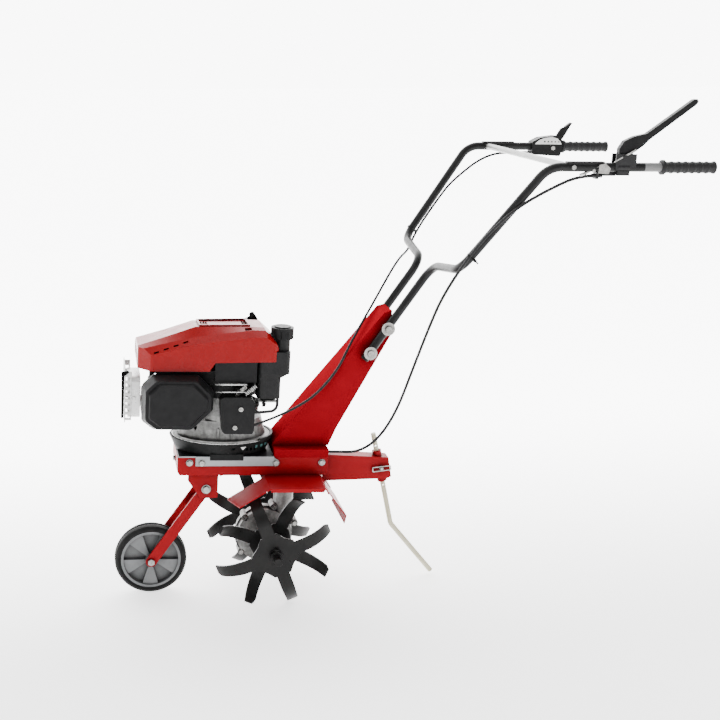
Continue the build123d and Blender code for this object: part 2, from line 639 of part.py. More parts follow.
# gear case, split on the centre plane later
def gear_case():
    cx, cz = CASE_C
    h = CASE_HALF
    s = cyl_y(cx, cz, CASE_R, -h, h)
    s += cyl_y(cx, cz, CASE_R + 5, -5, 5)
    for x, z in LUGS:
        s += cyl_y(x, z, 10, -h + 5, h - 5)
    s += box(WORM_X - 28, WORM_X + 25, -5, 5, 40, RAIL_Z - 4)
    s += cyl_z(WORM_X, 0, NECK_R, -66, RAIL_Z - 2)
    s += box(WORM_X - 46, WORM_X + 46, -46, 46, RAIL_Z - FLANGE_T, RAIL_Z)
    s += cyl_y(0, 0, BOSS_R, -BOSS_Y, BOSS_Y)
    for k in range(5):
        r = Rot(0, 72 * k + 20, 0) * box(BOSS_R - 4, BOSS_R + 26, -h - 3, h + 3, -2.5, 2.5)
        s += r & cyl_y(0, 0, 62, -40, 40)
    s -= cyl_y(0, 0, GEAR_R + GEAR_MODULE + 2, -GEAR_FACE / 2 - 2, GEAR_FACE / 2 + 2)
    s -= cyl_z(WORM_X, 0, WORM_D / 2 + GEAR_MODULE + 2, -44, 60)
    s -= cyl_z(WORM_X, 0, WORM_BRG, -59, -44) + cyl_z(WORM_X, 0, WORM_BRG, 60, 74)
    s -= cyl_z(WORM_X, 0, WORM_SHAFT_R + 2, 70, RAIL_Z + 1)
    s -= cyl_z(WORM_X, 0, WORM_SHAFT_R + 5, RAIL_Z - 9, RAIL_Z + 1)
    s -= cyl_y(0, 0, SHAFT_R + 1.5, -BOSS_Y - 1, BOSS_Y + 1)
    for j in (-1, 1):
        y0, y1 = sorted((j * 13.0, j * 28.0))
        s -= cyl_y(0, 0, SHAFT_BRG, y0, y1)
        y0, y1 = sorted((j * 31.0, j * (BOSS_Y + 1)))
        s -= cyl_y(0, 0, SHAFT_R + 7, y0, y1)
    for x, z in LUGS:
        s -= cyl_y(x, z, LUG_BOLT_R + HOLE, -h - 1, h + 1)
        s -= cyl_y(x, z, 8.5, -h - 9, -h + 5) + cyl_y(x, z, 8.5, h - 5, h + 9)
    for x, y in NECK_BOLTS:
        s -= cyl_z(x, y, BOLT_R + HOLE, RAIL_Z - 30, RAIL_Z + 1)
    return s


def gearbox_left(case):
    return case & box(-200, 200, -100, 0, -200, 300)


def gearbox_right(case):
    return case & box(-200, 200, 0, 100, -200, 300)


def gearbox_bolts():
    h = CASE_HALF - 5
    out = []
    for x, z in LUGS:
        out.append(bolt((x, -h, z), (0, 1, 0), LUG_BOLT_R, 2 * h + 7, 6.5, 5, 0, 2 * h))
    return out


def gearbox_bearings():
    out = []
    for j in (-1, 1):
        y0, y1 = sorted((j * 13.0, j * 28.0))
        ring = cyl_y(0, 0, SHAFT_BRG, y0, y1)
        out.append(ring - cyl_y(0, 0, SHAFT_R + RUN, y0 - 1, y1 + 1))
    for z0, z1 in ((-58.5, -44.0), (60.0, 74.0)):
        ring = cyl_z(WORM_X, 0, WORM_BRG, z0, z1)
        out.append(ring - cyl_z(WORM_X, 0, WORM_SHAFT_R + RUN, z0 - 1, z1 + 1))
    return Compound(children=out + shaft_seals())


def shaft_seals():
    out = []
    for j in (-1, 1):
        y0, y1 = sorted((j * 31.0, j * BOSS_Y))
        ring = cyl_y(0, 0, SHAFT_R + 7, y0, y1)
        out.append(ring - cyl_y(0, 0, SHAFT_R + GAP, y0 - 1, y1 + 1))
    z0, z1 = RAIL_Z - 9, RAIL_Z - 1
    ring = cyl_z(WORM_X, 0, WORM_SHAFT_R + 5, z0, z1)
    out.append(ring - cyl_z(WORM_X, 0, WORM_SHAFT_R + GAP, z0 - 1, z1 + 1))
    return out


def pin_places():
    y_in = (HUB_IN_Y + STAR_IN_Y) / 2 - 4
    y_out = HUB_OUT_Y - 8
    return [y_in, y_out, -y_in, -y_out]


def tine_shaft():
    s = cyl_y(0, 0, SHAFT_R, -HUB_OUT_Y, HUB_OUT_Y)
    s += cyl_y(0, 0, STUB_R, -SHAFT_END, SHAFT_END)
    for y in pin_places():
        s -= cyl_z(0, y, PIN_R, -60, 60)
    for j in (-1, 1):
        y = j * (SHAFT_END - 12)
        s -= cyl_z(0, y, STUB_PIN, -60, 60)
    return s


def tine_pins():
    out = []
    for y in pin_places():
        out.append(bolt((0, y, HUB_R), (0, 0, -1), PIN_R, 2 * HUB_R + 6, 6.5, 5, 0, 2 * HUB_R))
    return Compound(children=out)


def blade(side):
    """One blade along +x: a strip that leaves the star plate flat and then curls sideways."""
    t = TINE_T / 2
    a = math.radians(TINE_BEND)
    r = (TINE_HOOK + t * math.cos(a)) / (1 - math.cos(a))
    x0 = BLADE_R - (r + t) * math.sin(a)

    def on_arc(radius, angle):
        return (x0 + radius * math.sin(angle), side * (r - radius * math.cos(angle)))

    out_end, out_mid = on_arc(r + t, a), on_arc(r + t, a / 2)
    in_end, in_mid = on_arc(r - t, a), on_arc(r - t, a / 2)
    e = t * side
    edge = Line((20, -e), (x0, -e)) + ThreePointArc((x0, -e), out_mid, out_end)
    edge += Line(out_end, in_end) + ThreePointArc(in_end, in_mid, (x0, e))
    edge += Line((x0, e), (20, e)) + Line((20, e), (20, -e))
    s = extrude(make_face(edge).face(), amount=TINE_W / 2, both=True)
    w, v = TINE_W / 2, TINE_TIP / 2
    cut = [(0, TINE_W), (0, w + 1), (x0, w + 1), (BLADE_R - 8, v), (BLADE_R + 5, v), (BLADE_R + 5, TINE_W)]
    c = plate_y(cut, -90, 90)
    s -= c
    s -= mirror(c, about=Plane.XY)
    k = TINE_HOOK * side
    far = k + 9 * side
    tip = plate_x([(far, 40), (far, 2), (k - 12 * side, v + 1), (k - 12 * side, 40)], BLADE_R - 40, BLADE_R + 10)
    return s - tip


def star(y, side, phase, y0, y1):
    s = cyl_y(0, 0, HUB_R, y0, y1)
    pts = []
    for k in range(4):
        for r, b in ((PLATE_R, -21), (PLATE_R, 21), (NOTCH_R, 45)):
            a = math.radians(phase + 90 * k + b)
            pts.append((r * math.cos(a), r * math.sin(a)))
    s += plate_y(pts, y - TINE_T / 2, y + TINE_T / 2)
    for k in range(4):
        s += Pos(0, y, 0) * (Rot(0, -(phase + 90 * k), 0) * blade(side))
    s -= cyl_y(0, 0, SHAFT_R, y0 - 1, y1 + 1)
    for p in pin_places():
        if y0 < p < y1:
            s -= cyl_z(0, p, PIN_R, -60, 60)
    return s


def star_left_outer():
    return star(-STAR_OUT_Y, 1, TINE_PHASE + PITCH, -HUB_OUT_Y, -HUB_MID_Y)


def star_left_inner():
    return star(-STAR_IN_Y, -1, TINE_PHASE + PITCH + 45, -HUB_MID_Y, -HUB_IN_Y)


def star_right_inner():
    return mirror(star_left_inner(), about=Plane.XZ)


def star_right_outer():
    return mirror(star_left_outer(), about=Plane.XZ)


def worm_wheel():
    r_root = GEAR_R - 1.25 * GEAR_MODULE
    r_tip = GEAR_R + GEAR_MODULE
    b = 3.1 / r_root
    c = 0.8 / r_tip
    pts = []
    for k in range(GEAR_TEETH):
        a = 2 * math.pi * k / GEAR_TEETH
        for r, d in ((r_root, -b), (r_tip, -c), (r_tip, c), (r_root, b)):
            pts.append((r * math.cos(a + d), r * math.sin(a + d)))
    f = outline(pts)
    lead = WORM_PITCH / (math.pi * WORM_D)
    turn = math.degrees(lead * GEAR_FACE / 2 / GEAR_R)
    pl = Plane(origin=(0, 0, 0), x_dir=(1, 0, 0), z_dir=(0, -1, 0))
    half = GEAR_FACE / 2
    a0 = Pos(0, -half, 0) * Rot(0, -turn, 0) * (pl * f)
    a1 = Pos(0, half, 0) * Rot(0, turn, 0) * (pl * f)
    s = loft([a0, a1], ruled=True)
    s -= cyl_y(0, 0, SHAFT_R, -30, 30)
    return s


def worm_shaft():
    r_root = WORM_D / 2 - 1.25 * GEAR_MODULE
    s = cyl_z(0, 0, r_root, -43.5, 59.5)
    s += cyl_z(0, 0, WORM_SHAFT_R, -58, -42)
    s += cyl_z(0, 0, WORM_SHAFT_R, 40, BELT_Z + PULLEY_H / 2 + 8)
    turns = 6
    r_in = r_root - 0.6
    helix = Helix(
        pitch=WORM_PITCH, height=turns * WORM_PITCH, radius=r_in, center=(0, 0, -turns / 2 * WORM_PITCH)
    )
    base, tip = 3.05, 1.0
    depth = WORM_D / 2 + GEAR_MODULE - 0.5 - r_in
    pl = Plane(origin=helix @ 0, x_dir=(1, 0, 0), z_dir=helix % 0)
    prof = make_face(Polyline((0, -base), (depth, -tip), (depth, tip), (0, base), close=True))
    s += sweep(pl * prof, path=helix, is_frenet=True)
    return Pos(WORM_X, 0, 0) * s


def pulley(x, r, hub_bore):
    """V pulley about z at BELT_Z with a groove for the belt."""
    h = PULLEY_H / 2
    rim = r + BELT_H / 2 + 2
    root = r - BELT_H / 2 - 2
    wo = BELT_W / 2 + GAP + 0.5
    wi = BELT_W / 2 - 2.5 + GAP
    prof = [
        (hub_bore, -h), (rim, -h), (rim, -wo), (root, -wi),
        (root, wi), (rim, wo), (rim, h), (hub_bore, h),
    ]
    f = Plane.XZ * outline(prof)
    return Pos(x, 0, BELT_Z) * revolve(f, Axis.Z, 360)


def drive_pulley():
    s = pulley(CRANK_X, DRIVE_R, CRANK_R)
    hub = cyl_z(CRANK_X, 0, CRANK_R + 8, BELT_Z + PULLEY_H / 2, DECK_Z)
    return s + hub - cyl_z(CRANK_X, 0, CRANK_R, 0, 400)


def driven_pulley():
    s = pulley(WORM_X, DRIVEN_R, WORM_SHAFT_R)
    for k in range(5):
        a = math.radians(72 * k)
        s -= cyl_z(WORM_X + 34 * math.cos(a), 34 * math.sin(a), 10, 0, 400)
    return s


def v_belt():
    b = BELT_H / 2
    w = BELT_W / 2
    r1, r2 = DRIVE_R, DRIVEN_R
    a = math.asin((r2 - r1) / (WORM_X - CRANK_X))
    p = []
    for r, x in ((r1, CRANK_X), (r2, WORM_X)):
        p.append((x - r * math.sin(a), r * math.cos(a)))
    z = BELT_Z
    q1, q2 = (p[0][0], p[0][1], z), (p[1][0], p[1][1], z)
    q3, q4 = (p[1][0], -p[1][1], z), (p[0][0], -p[0][1], z)
    far = ThreePointArc(q2, (WORM_X + r2, 0, z), q3)
    near = ThreePointArc(q4, (CRANK_X - r1, 0, z), q1)
    path = Wire([Line(q1, q2).edge(), far.edge(), Line(q3, q4).edge(), near.edge()])
    pl = Plane(origin=q1, x_dir=(-math.sin(a), math.cos(a), 0), z_dir=(math.cos(a), math.sin(a), 0))
    sec = make_face(Polyline((b, -w), (b, w), (-b, w - 2), (-b, -w + 2), close=True))
    return sweep(pl * sec, path=path)


# idler inside the belt loop, on a post under the engine plate
def idler_place():
    """Idler centre at rest: it reaches the belt just short of touching at full swing."""
    c = WORM_X - CRANK_X
    a = math.asin((DRIVEN_R - DRIVE_R) / c)
    # inner face of the left belt run: distance from the line to the idler centre
    need = IDLER_R + GAP
    nx, ny = -math.sin(a), -math.cos(a)
    t = math.radians(IDLER_TURN)
    vx = 30.0
    # find the arm's y reach so that the swung centre lies the right distance inside
    vy = -20.0
    for i in range(60):
        sx = IDLER_PX + vx * math.cos(t) + vy * math.sin(t)
        sy = IDLER_PY - vx * math.sin(t) + vy * math.cos(t)
        d = (DRIVE_R - BELT_H / 2) - ((sx - CRANK_X) * nx + sy * ny)
        vy += (need - d) * 0.5
    return IDLER_PX + vx, IDLER_PY + vy


def idler_arm():
    x, y = idler_place()
    z = BELT_Z + PULLEY_H / 2 + 2.0
    d = Vector(x - IDLER_PX, y - IDLER_PY, 0)
    pl = Plane(origin=((x + IDLER_PX) / 2, (y + IDLER_PY) / 2, z), x_dir=d, z_dir=(0, 0, 1))
    s = extrude(pl * SlotCenterToCenter(d.length, 18), 3.0)
    tail = Vector(18, 22, 0)
    pl = Plane(origin=(IDLER_PX + 9, IDLER_PY + 11, z), x_dir=tail, z_dir=(0, 0, 1))
    s += extrude(pl * SlotCenterToCenter(tail.length, 14), 3.0)
    s += cyl_z(x, y, 5.0, BELT_Z - PULLEY_H / 2, z + 1)
    s -= cyl_z(IDLER_PX, IDLER_PY, 5.0 + RUN, 0, 400)
    s -= cyl_z(IDLER_PX + 18, IDLER_PY + 22, 2.2, 0, 400)
    return s


def idler_post():
    z = BELT_Z + PULLEY_H / 2 + 2.0
    s = cyl_z(IDLER_PX, IDLER_PY, 5.0, z - 4, DECK_Z)
    s += cyl_z(IDLER_PX, IDLER_PY, 9.0, z - 6, z - GAP)
    s += cyl_z(IDLER_PX, IDLER_PY, 8.0, z + 3 + GAP, DECK_Z)
    return s


def idler_pulley():
    x, y = idler_place()
    h = BELT_W / 2 + 1
    s = cyl_z(x, y, IDLER_R, BELT_Z - h, BELT_Z + h)
    s += cyl_z(x, y, 9, BELT_Z - h - 1, BELT_Z + PULLEY_H / 2 + 1.2)
    s -= cyl_z(x, y, 5.0 + RUN, 0, 400)
    return s


# engine
def crankcase():
    z0 = FLANGE_Z
    s = extrude(ellipse_face(FLANGE_A, FLANGE_B, z0), 8)
    low = ellipse_face(FLANGE_A - 12, FLANGE_B - 14, z0 + 7)
    s += loft([low, ellipse_face(FLANGE_A - 26, FLANGE_B - 20, z0 + 58)])
    s += cyl_z(CRANK_X, 0, BODY_R, z0 + 50, CASE_TOP)
    s += box(HEAD_X, CRANK_X, -44, 44, BORE_Z - 44, BORE_Z + 30)
    for k in range(8):
        x = HEAD_X + 6 + 11 * k
        s += box(x, x + 3, -62, 62, BORE_Z - 56, BORE_Z + 33)
    for k in range(6):
        rib = box(BODY_R - 8, FLANGE_B - 12, -2, 2, z0 + 6, z0 + 40)
        s += Pos(CRANK_X, 0, 0) * Rot(0, 0, -150 + 24 * k) * rib
    s -= cyl_z(CRANK_X, 0, 54, z0 + 18, CASE_TOP - 14)
    s -= cyl_z(CRANK_X, 0, CRANK_R + RUN, z0 - 1, CASE_TOP + 1)
    s -= cyl_x(0, BORE_Z, BORE_R, HEAD_X - 1, CRANK_X)
    for x, y in PLATE_BOLTS:
        s -= cyl_z(x, y, BOLT_R + HOLE, z0 - 1, z0 + 9)
        s -= cyl_z(x, y, 9, z0 + 8, z0 + 40)
    s -= cyl_z(OIL_X, OIL_Y, 9.0, z0 + 20, z0 + 80)
    s += cyl_z(OIL_X, OIL_Y, 14.0, z0 + 6, z0 + OIL_H) - cyl_z(OIL_X, OIL_Y, 9.0, z0 + 20, z0 + 80)
    return s + tank_arm()


def oil_cap():
    z = FLANGE_Z + OIL_H + GAP
    s = cyl_z(OIL_X, OIL_Y, 8.4, z - 26, z)
    s += cyl_z(OIL_X, OIL_Y, 17.0, z, z + 9)
    s += box(OIL_X - 15, OIL_X + 15, OIL_Y - 3, OIL_Y + 3, z + 8, z + 19)
    return s


def cylinder_head():
    s = box(HEAD_X - 22, HEAD_X, -50, 50, BORE_Z - 44, BORE_Z + 40)
    for k in range(3):
        x = HEAD_X - 4 - 8 * k
        s += box(x - 3, x, -60, 60, BORE_Z - 54, BORE_Z + 46)
    s += box(HEAD_X - 42, HEAD_X - 22, -40, 40, BORE_Z - 34, BORE_Z + 30)
    s -= cyl_x(0, BORE_Z, BORE_R, HEAD_X - 8, HEAD_X + 1)
    s += cyl_z(HEAD_X - 14, 30, 11, BORE_Z + 38, BORE_Z + 52)
    s -= cyl_z(HEAD_X - 14, 30, 6.0, BORE_Z + 30, BORE_Z + 60)
    return s


def spark_plug():
    x, y = HEAD_X - 14, 30
    z = BORE_Z + 52
    s = cyl_z(x, y, 6.0, BORE_Z + 30, z) + cyl_z(x, y, 10, z, z + 8)
    s += cyl_z(x, y, 7, z + 8, z + 26)
    s += pipe([(x, y, z + 20), (x + 30, y, z + 20), (x + 60, y + 38, z + 14)], 14, 3.5)
    return s


def crankshaft():
    s = cyl_z(CRANK_X, 0, CRANK_R, BELT_Z - PULLEY_H / 2 - 4, FLANGE_Z + 60)
    s += cyl_z(CRANK_X, 0, CRANK_R, CASE_TOP - 50, CASE_TOP + 62)
    for z in (FLANGE_Z + 58, CASE_TOP - 44):
        s += cyl_z(CRANK_X, 0, 40, z, z + 13) & box(CRANK_X - 60, CRANK_X + 60, -22, 22, z, z + 13)
    s += cyl_z(CRANK_X - 24, 0, 11, FLANGE_Z + 60, CASE_TOP - 40)
    s += cyl_z(CRANK_X, 0, 9.5, BELT_Z - PULLEY_H / 2 - 8, BELT_Z - PULLEY_H / 2 - 3)
    return s


def flywheel():
    z = CASE_TOP + 10
    s = cyl_z(CRANK_X, 0, FLYWHEEL_R, z, z + 22)
    s -= cyl_z(CRANK_X, 0, FLYWHEEL_R - 12, z + 8, z + 30)
    s += cyl_z(CRANK_X, 0, 26, z, z + 40)
    for k in range(12):
        s += Pos(CRANK_X, 0, 0) * Rot(0, 0, 30 * k) * box(40, FLYWHEEL_R - 2, -1.5, 1.5, z + 6, z + 42)
    s -= cyl_z(CRANK_X, 0, CRANK_R, 0, 900)
    return s


def blower_housing():
    z0, z1 = BLOWER_Z0, BLOWER_Z1
    r = BLOWER_R
    t = 2.5
    x = HEAD_X - 8
    duct = [(x, -66), (CRANK_X, -r + 0.5), (CRANK_X, r - 0.5), (x, 66)]
    room = [(x - 1, -66 + t), (CRANK_X, -r + t + 0.5), (CRANK_X, r - t - 0.5), (x - 1, 66 - t)]
    s = cyl_z(CRANK_X, 0, r, z0, z1) + plate_z(duct, z0 + 36, z1)
    s -= cyl_z(CRANK_X, 0, r - t, z0 - 1, z1 - t) + plate_z(room, z0 + 20, z1 - t)
    x0, x1, y = AF_X1 + 4, COWL_X1 - 13, COWL_HALF - 12
    shelf = plate_z(rect(x0, x1, -y, -r + 11), z1 - 30, z1 - 26)
    shelf += plate_z(rect(x0, x1, -y, -y + 3), z1 - 30, z1 + 36)
    shelf += plate_z(rect(HEAD_X - 12, x0 + 6, -y, -60), max(AF_Z1 + 2, z1 - 3), z1)
    s += shelf - cyl_z(CRANK_X, 0, r - 1, z0 - 1, z1 + 30) - tank_room(4.0)
    for px, py in ((HEAD_X + 14, 56), (CRANK_X + 66, 62)):
        for j in (-1, 1):
            s += cyl_z(px, j * py, 5, z1 - 1, z1 + 200) & cowl_solid(COWL_T)
    s -= cyl_z(CRANK_X, 0, 60, z1 - 10, z1 + 10)
    return s + recoil_starter()


def recoil_starter():
    z0 = BLOWER_Z1
    s = cyl_z(CRANK_X, 0, STARTER_R, z0, z0 + 8)
    r = STARTER_R
    low, top = Pos(CRANK_X, 0, z0 + 7), Pos(CRANK_X, 0, z0 + 46)
    s += loft([low * Circle(r - 6), top * Circle(r - 24)])
    low, top = Pos(CRANK_X, 0, z0 - 0.1), Pos(CRANK_X, 0, z0 + 43)
    s -= loft([low * Circle(r - 9), top * Circle(r - 27)])
    for k in range(10):
        s -= Pos(CRANK_X, 0, 0) * Rot(0, 0, 36 * k) * box(22, 44, -4, 4, z0 + 30, z0 + 60)
    return s


# fuel tank at the rear left
def tank_room(g):
    s = box(TANK_X0 - g, TANK_X1 + 40, TANK_Y0 - g, TANK_Y1 + g, TANK_Z0 - 30, TANK_Z1 + g)
    s += cyl_z(CAP_X, CAP_Y, CAP_R + 6, TANK_Z1 - 5, TANK_Z1 + 120)
    return s


def fuel_tank():
    x1 = TANK_X1 - TANK_STEP
    z = TANK_Z0 + TANK_LOW
    low = plate_z(rect(TANK_X0, x1, TANK_Y0 + 6, TANK_Y1), TANK_Z0, z, 12)
    mid = plate_z(rect(TANK_X0, TANK_X1, TANK_Y0, TANK_Y1), z + 12, TANK_Z1, 14)
    top = outline(rect(TANK_X0, x1, TANK_Y0 + 6, TANK_Y1), 12)
    top2 = outline(rect(TANK_X0, TANK_X1, TANK_Y0, TANK_Y1), 14)
    s = low + loft([Pos(0, 0, z - 1) * top, Pos(0, 0, z + 13) * top2]) + mid
    s += cyl_z(CAP_X, CAP_Y, CAP_R - 8, TANK_Z1 - 2, TANK_Z1 + NECK_H)
    s -= cyl_z(CRANK_X, 0, BLOWER_R + 5, 0, 900)
    room = rect(TANK_X0 + 20, x1 - 5, TANK_Y0 + 11, TANK_Y1 - 6)
    hollow = plate_z(room, TANK_Z0 + 4, TANK_Z1 - 4, 6)
    s -= hollow - cyl_z(CRANK_X, 0, BLOWER_R + 10, 0, 900)
    s -= cyl_z(CAP_X, CAP_Y, CAP_R - 12, TANK_Z1 - 20, TANK_Z1 + NECK_H + 20)
    s += box(TANK_X0 + 13, TANK_X0 + 45, -100, -84, FOOT_Z, TANK_Z0 + 1)
    return cut_up(s, tank_cuts)


def tank_cuts(g):
    """Four quarters of the lid round the neck, then the four walls; the floor is left over."""
    far = 400.0
    zt = TANK_Z1 - 6 - g
    xa, xb = TANK_X0 + 22 + g, TANK_X1 - TANK_STEP - 7 - g
    ya, yb = TANK_Y0 + 13 + g, TANK_Y1 - 8 - g
    return [
        box(CAP_X - far, CAP_X + g, CAP_Y - far, CAP_Y + g, zt, zt + far),
        box(CAP_X - g, CAP_X + far, CAP_Y - far, CAP_Y + g, zt, zt + far),
        box(CAP_X - far, CAP_X + g, CAP_Y - g, CAP_Y + far, zt, zt + far),
        box(CAP_X - g, CAP_X + far, CAP_Y - g, CAP_Y + far, zt, zt + far),
        box(xa - far, xa, -far, far, 0, zt),
        box(xb, xb + far, -far, far, 0, zt),
        box(xa - 1, xb + 1, ya - far, ya, 0, zt),
        box(xa - 1, xb + 1, yb, yb + far, 0, zt),
    ]


def tank_arm():
    arm = [
        (CRANK_X + 20, -62), (CRANK_X + 62, -36), (TANK_X0 + 3, -78), (TANK_X0 + 51, -78),
        (TANK_X0 + 51, -106), (TANK_X0 + 4, -106), (TANK_X0, -96), (CRANK_X + 20, -76),
    ]
    s = plate_z(arm, CASE_TOP - 1, FOOT_Z)
    return s - cyl_z(CRANK_X, 0, 60, 0, 900)


def fuel_cap():
    z = TANK_Z1 + NECK_H + GAP
    s = cyl_z(CAP_X, CAP_Y, CAP_R, z - 3, z + 26)
    s -= cyl_z(CAP_X, CAP_Y, CAP_R - 6, z - 4, z)
    for k in range(10):
        a = math.radians(36 * k)
        r = CAP_R + 1.5
        s -= cyl_z(CAP_X + r * math.cos(a), CAP_Y + r * math.sin(a), 3.6, z - 4, z + 20)
    s += cyl_z(CAP_X, CAP_Y, CAP_R - 8, z + 25, z + 29)
    s += cyl_z(CAP_X, CAP_Y, CAP_R - 12 - 1, z - 14, z + 1)
    return s


def fuel_hose():
    z = TANK_Z0
    x = TANK_X1 - TANK_STEP - 5.5
    pts = [(x, -98, z), (x, -98, z - 36), (CTRL_X1 + 22, -112, z - 36), (CTRL_X1, -112, z - 36)]
    return pipe(pts, [18, 18], 4.0)


# cowl lofted through sections, hollowed by the same sections drawn smaller
def cowl_solid(g):
    x0, x1, zt = COWL_X0 + g, COWL_X1 - g, COWL_Z - g
    h = COWL_HALF - g
    zb = COWL_Z - 125
    faces = []
    for k, (x, d1, d2, d3, d4, d5) in enumerate(COWL_ST):
        x += g if k == 0 else 0.0
        x -= g if k == len(COWL_ST) - 1 else 0.0
        pts = [
            (-h, zb), (-h, zt - d1), (-COWL_Y2 + g / 2, zt - d2), (-COWL_Y3 + g / 2, zt - d3),
            (COWL_Y4, zt - d4), (h, zt - d5), (h, zb),
        ]
        pl = Plane(origin=(x, 0, 0), x_dir=(0, 1, 0), z_dir=(1, 0, 0))
        faces.append(pl * outline(pts))
    s = loft(faces, ruled=True)
    plan = [(x0, -84), (x0 + 34, -h), (x1 - 12, -h), (x1, -h + 14), (x1, h - 14), (x1 - 12, h), (x0 + 34, h), (x0, 84)]
    s &= plate_z(plan, zb - 10, zt + 20, 10)
    if not g:
        low = [
            (x0 - 5, zt - 111), (AF_X1 - 12, zt - 110), (AF_X1 + 3, zt - 87), (x1 + 5, zt - 83),
            (x1 + 5, zt + 20), (x0 - 5, zt + 20),
        ]
        s &= plate_y(low, -h - 5, h + 5)
    return s


def engine_cowl():
    s = cowl_solid(0.0) - cowl_solid(COWL_T)
    s -= plate_z(grille_outline(0.0), COWL_Z - 38, COWL_Z + 22, 8)
    for k in range(4):
        x = COWL_X0 + 40 + 25 * k
        z = COWL_Z - 66 + 8.6 * k
        slot = [(x, z), (x + 13, z + 4), (x + 13, z + 8), (x, z + 4)]
        s -= plate_y(slot, -COWL_HALF - 10, -COWL_Y2 + 6)
    for k in range(5):
        y = 30 * k - 70
        s -= plate_x(rect(y, y + 18, COWL_Z - 98, COWL_Z - 74), COWL_X0 - 10, COWL_X0 + 20)
    s -= box(-100, -82, -COWL_Y2 + 2, -COWL_Y3 - 6, COWL_Z - 20, COWL_Z + 10)
    s -= tank_room(4.0)
    pl = Plane(origin=(ROPE_X, ROPE_Y, ROPE_Z), z_dir=(ROPE_DX, 0, ROPE_DZ))
    guide = pl * (Pos(0, 0, -18) * Cylinder(9.0, 33))
    s += guide - cowl_solid(COWL_T)
    s -= pl * Cylinder(ROPE_R + GAP, 400)
    return cut_up(s, cowl_cuts)


def cowl_cuts(g):
    """The near side, the far side and the nose; the top is left over."""
    far = 800.0
    xf, ya, yb = COWL_X0 + 7, -COWL_Y2 + 16 + g, -COWL_Y2 + g
    near = [(xf - far, ya), (xf, ya), (xf + 19, yb), (far, yb), (far, -far), (xf - far, -far)]
    return [
        plate_z(near, 0, COWL_Z + far),
        box(-far, far, 60 - g, far, 0, COWL_Z + far),
        box(xf - far, xf + g, -far, far, 0, COWL_Z + far),
    ]


def grille_outline(g):
    x0, x1 = CRANK_X - 66 + g, CRANK_X + 52 - g
    return [(x0, -70 + g), (x1, -70 + g), (x1, 19 - g), (x0, 19 - g)]


def cowl_grille():
    s = cowl_solid(0.0) - cowl_solid(COWL_T)
    s &= plate_z(grille_outline(GAP), COWL_Z - 38, COWL_Z + 22, 8)
    z0, z1 = COWL_Z - 30, COWL_Z + 10
    for k in range(11):
        x = CRANK_X - 55 + 9.6 * k
        s -= box(x - 2.2, x + 2.2, 9, 14, z0, z1)
        s -= box(x - 2.2, x + 2.2, -65, -60, z0, z1)
    for k in range(7):
        y = -52 + 9 * k
        s -= box(CRANK_X - 60, CRANK_X - 54, y - 2.2, y + 2.2, z0, z1)
        s -= box(CRANK_X + 41, CRANK_X + 47, y - 2.2, y + 2.2, z0, z1)
    post = box(CRANK_X - 6, CRANK_X + 6, -30, -18, BLOWER_Z1 + 46, COWL_Z)
    return s + (post & cowl_solid(COWL_T - 1))


def starter_grip():
    pl = Plane(origin=(ROPE_X, ROPE_Y, ROPE_Z), x_dir=(0, 1, 0), z_dir=(ROPE_DX, 0, ROPE_DZ))
    s = Pos(0, 0, 17) * Box(50, 18, 15)
    s = fillet(s.edges().filter_by(Axis.X), 6)
    s += Pos(0, 0, 5) * Cylinder(8, 12)
    n = ROPE_PULL + 25
    s += Pos(0, 0, 5 - n / 2) * Cylinder(ROPE_R, n)
    return pl * s


# air filter
def octagon(g, c):
    x0, x1, z0, z1 = AF_X0 + g, AF_X1 - g, AF_Z0 + g, AF_Z1 - g
    return [
        (x0, z0 + c * 0.6), (x0 + c * 0.8, z0), (x1 - c * 1.3, z0), (x1, z0 + c * 1.3),
        (x1, z1 - c), (x1 - c, z1), (x0 + c * 0.7, z1), (x0, z1 - c * 0.7),
    ]


def air_filter_cover():
    pl = Plane(origin=(0, 0, 0), x_dir=(1, 0, 0), z_dir=(0, -1, 0))
    a = pl * outline(octagon(0.0, 40.0), 16)
    b = pl * outline(octagon(9.0, 38.0), 14)
    s = loft([Pos(0, AF_YM, 0) * a, Pos(0, AF_Y0 + 8, 0) * b])
    c = pl * outline(octagon(15.0, 36.0), 12)
    d = pl * outline(octagon(20.0, 35.0), 12)
    s += loft([Pos(0, AF_Y0 + 8.5, 0) * c, Pos(0, AF_Y0, 0) * d])
    hollow = plate_y(octagon(14.0, 36.0), AF_Y0 + 12, AF_YM + 1, 10)
    return s - hollow


def air_filter_base():
    s = plate_y(octagon(1.0, 40.0), AF_YM, AF_YM + 14, 16)
    s += cyl_y(CARB_X, CARB_Z, 17, AF_YM + 13, AF_YM + 24)
    s -= cyl_y(CARB_X, CARB_Z, 12, AF_YM - 10, AF_YM + 40)
    return s


def carburettor():
    y1 = AF_YM + 24
    s = cyl_y(CARB_X, CARB_Z, 16, y1, -44)
    s += box(CARB_X - 16, CARB_X + 16, y1 + 4, -66, CARB_Z - 18, CARB_Z + 16)
    s += cyl_z(CARB_X, (y1 - 62) / 2, 17, CARB_Z - 46, CARB_Z - 16)
    s -= cyl_y(CARB_X, CARB_Z, 11, y1 - 1, -43) + cyl_z(CRANK_X, 0, BODY_R, 300, 450)
    return s


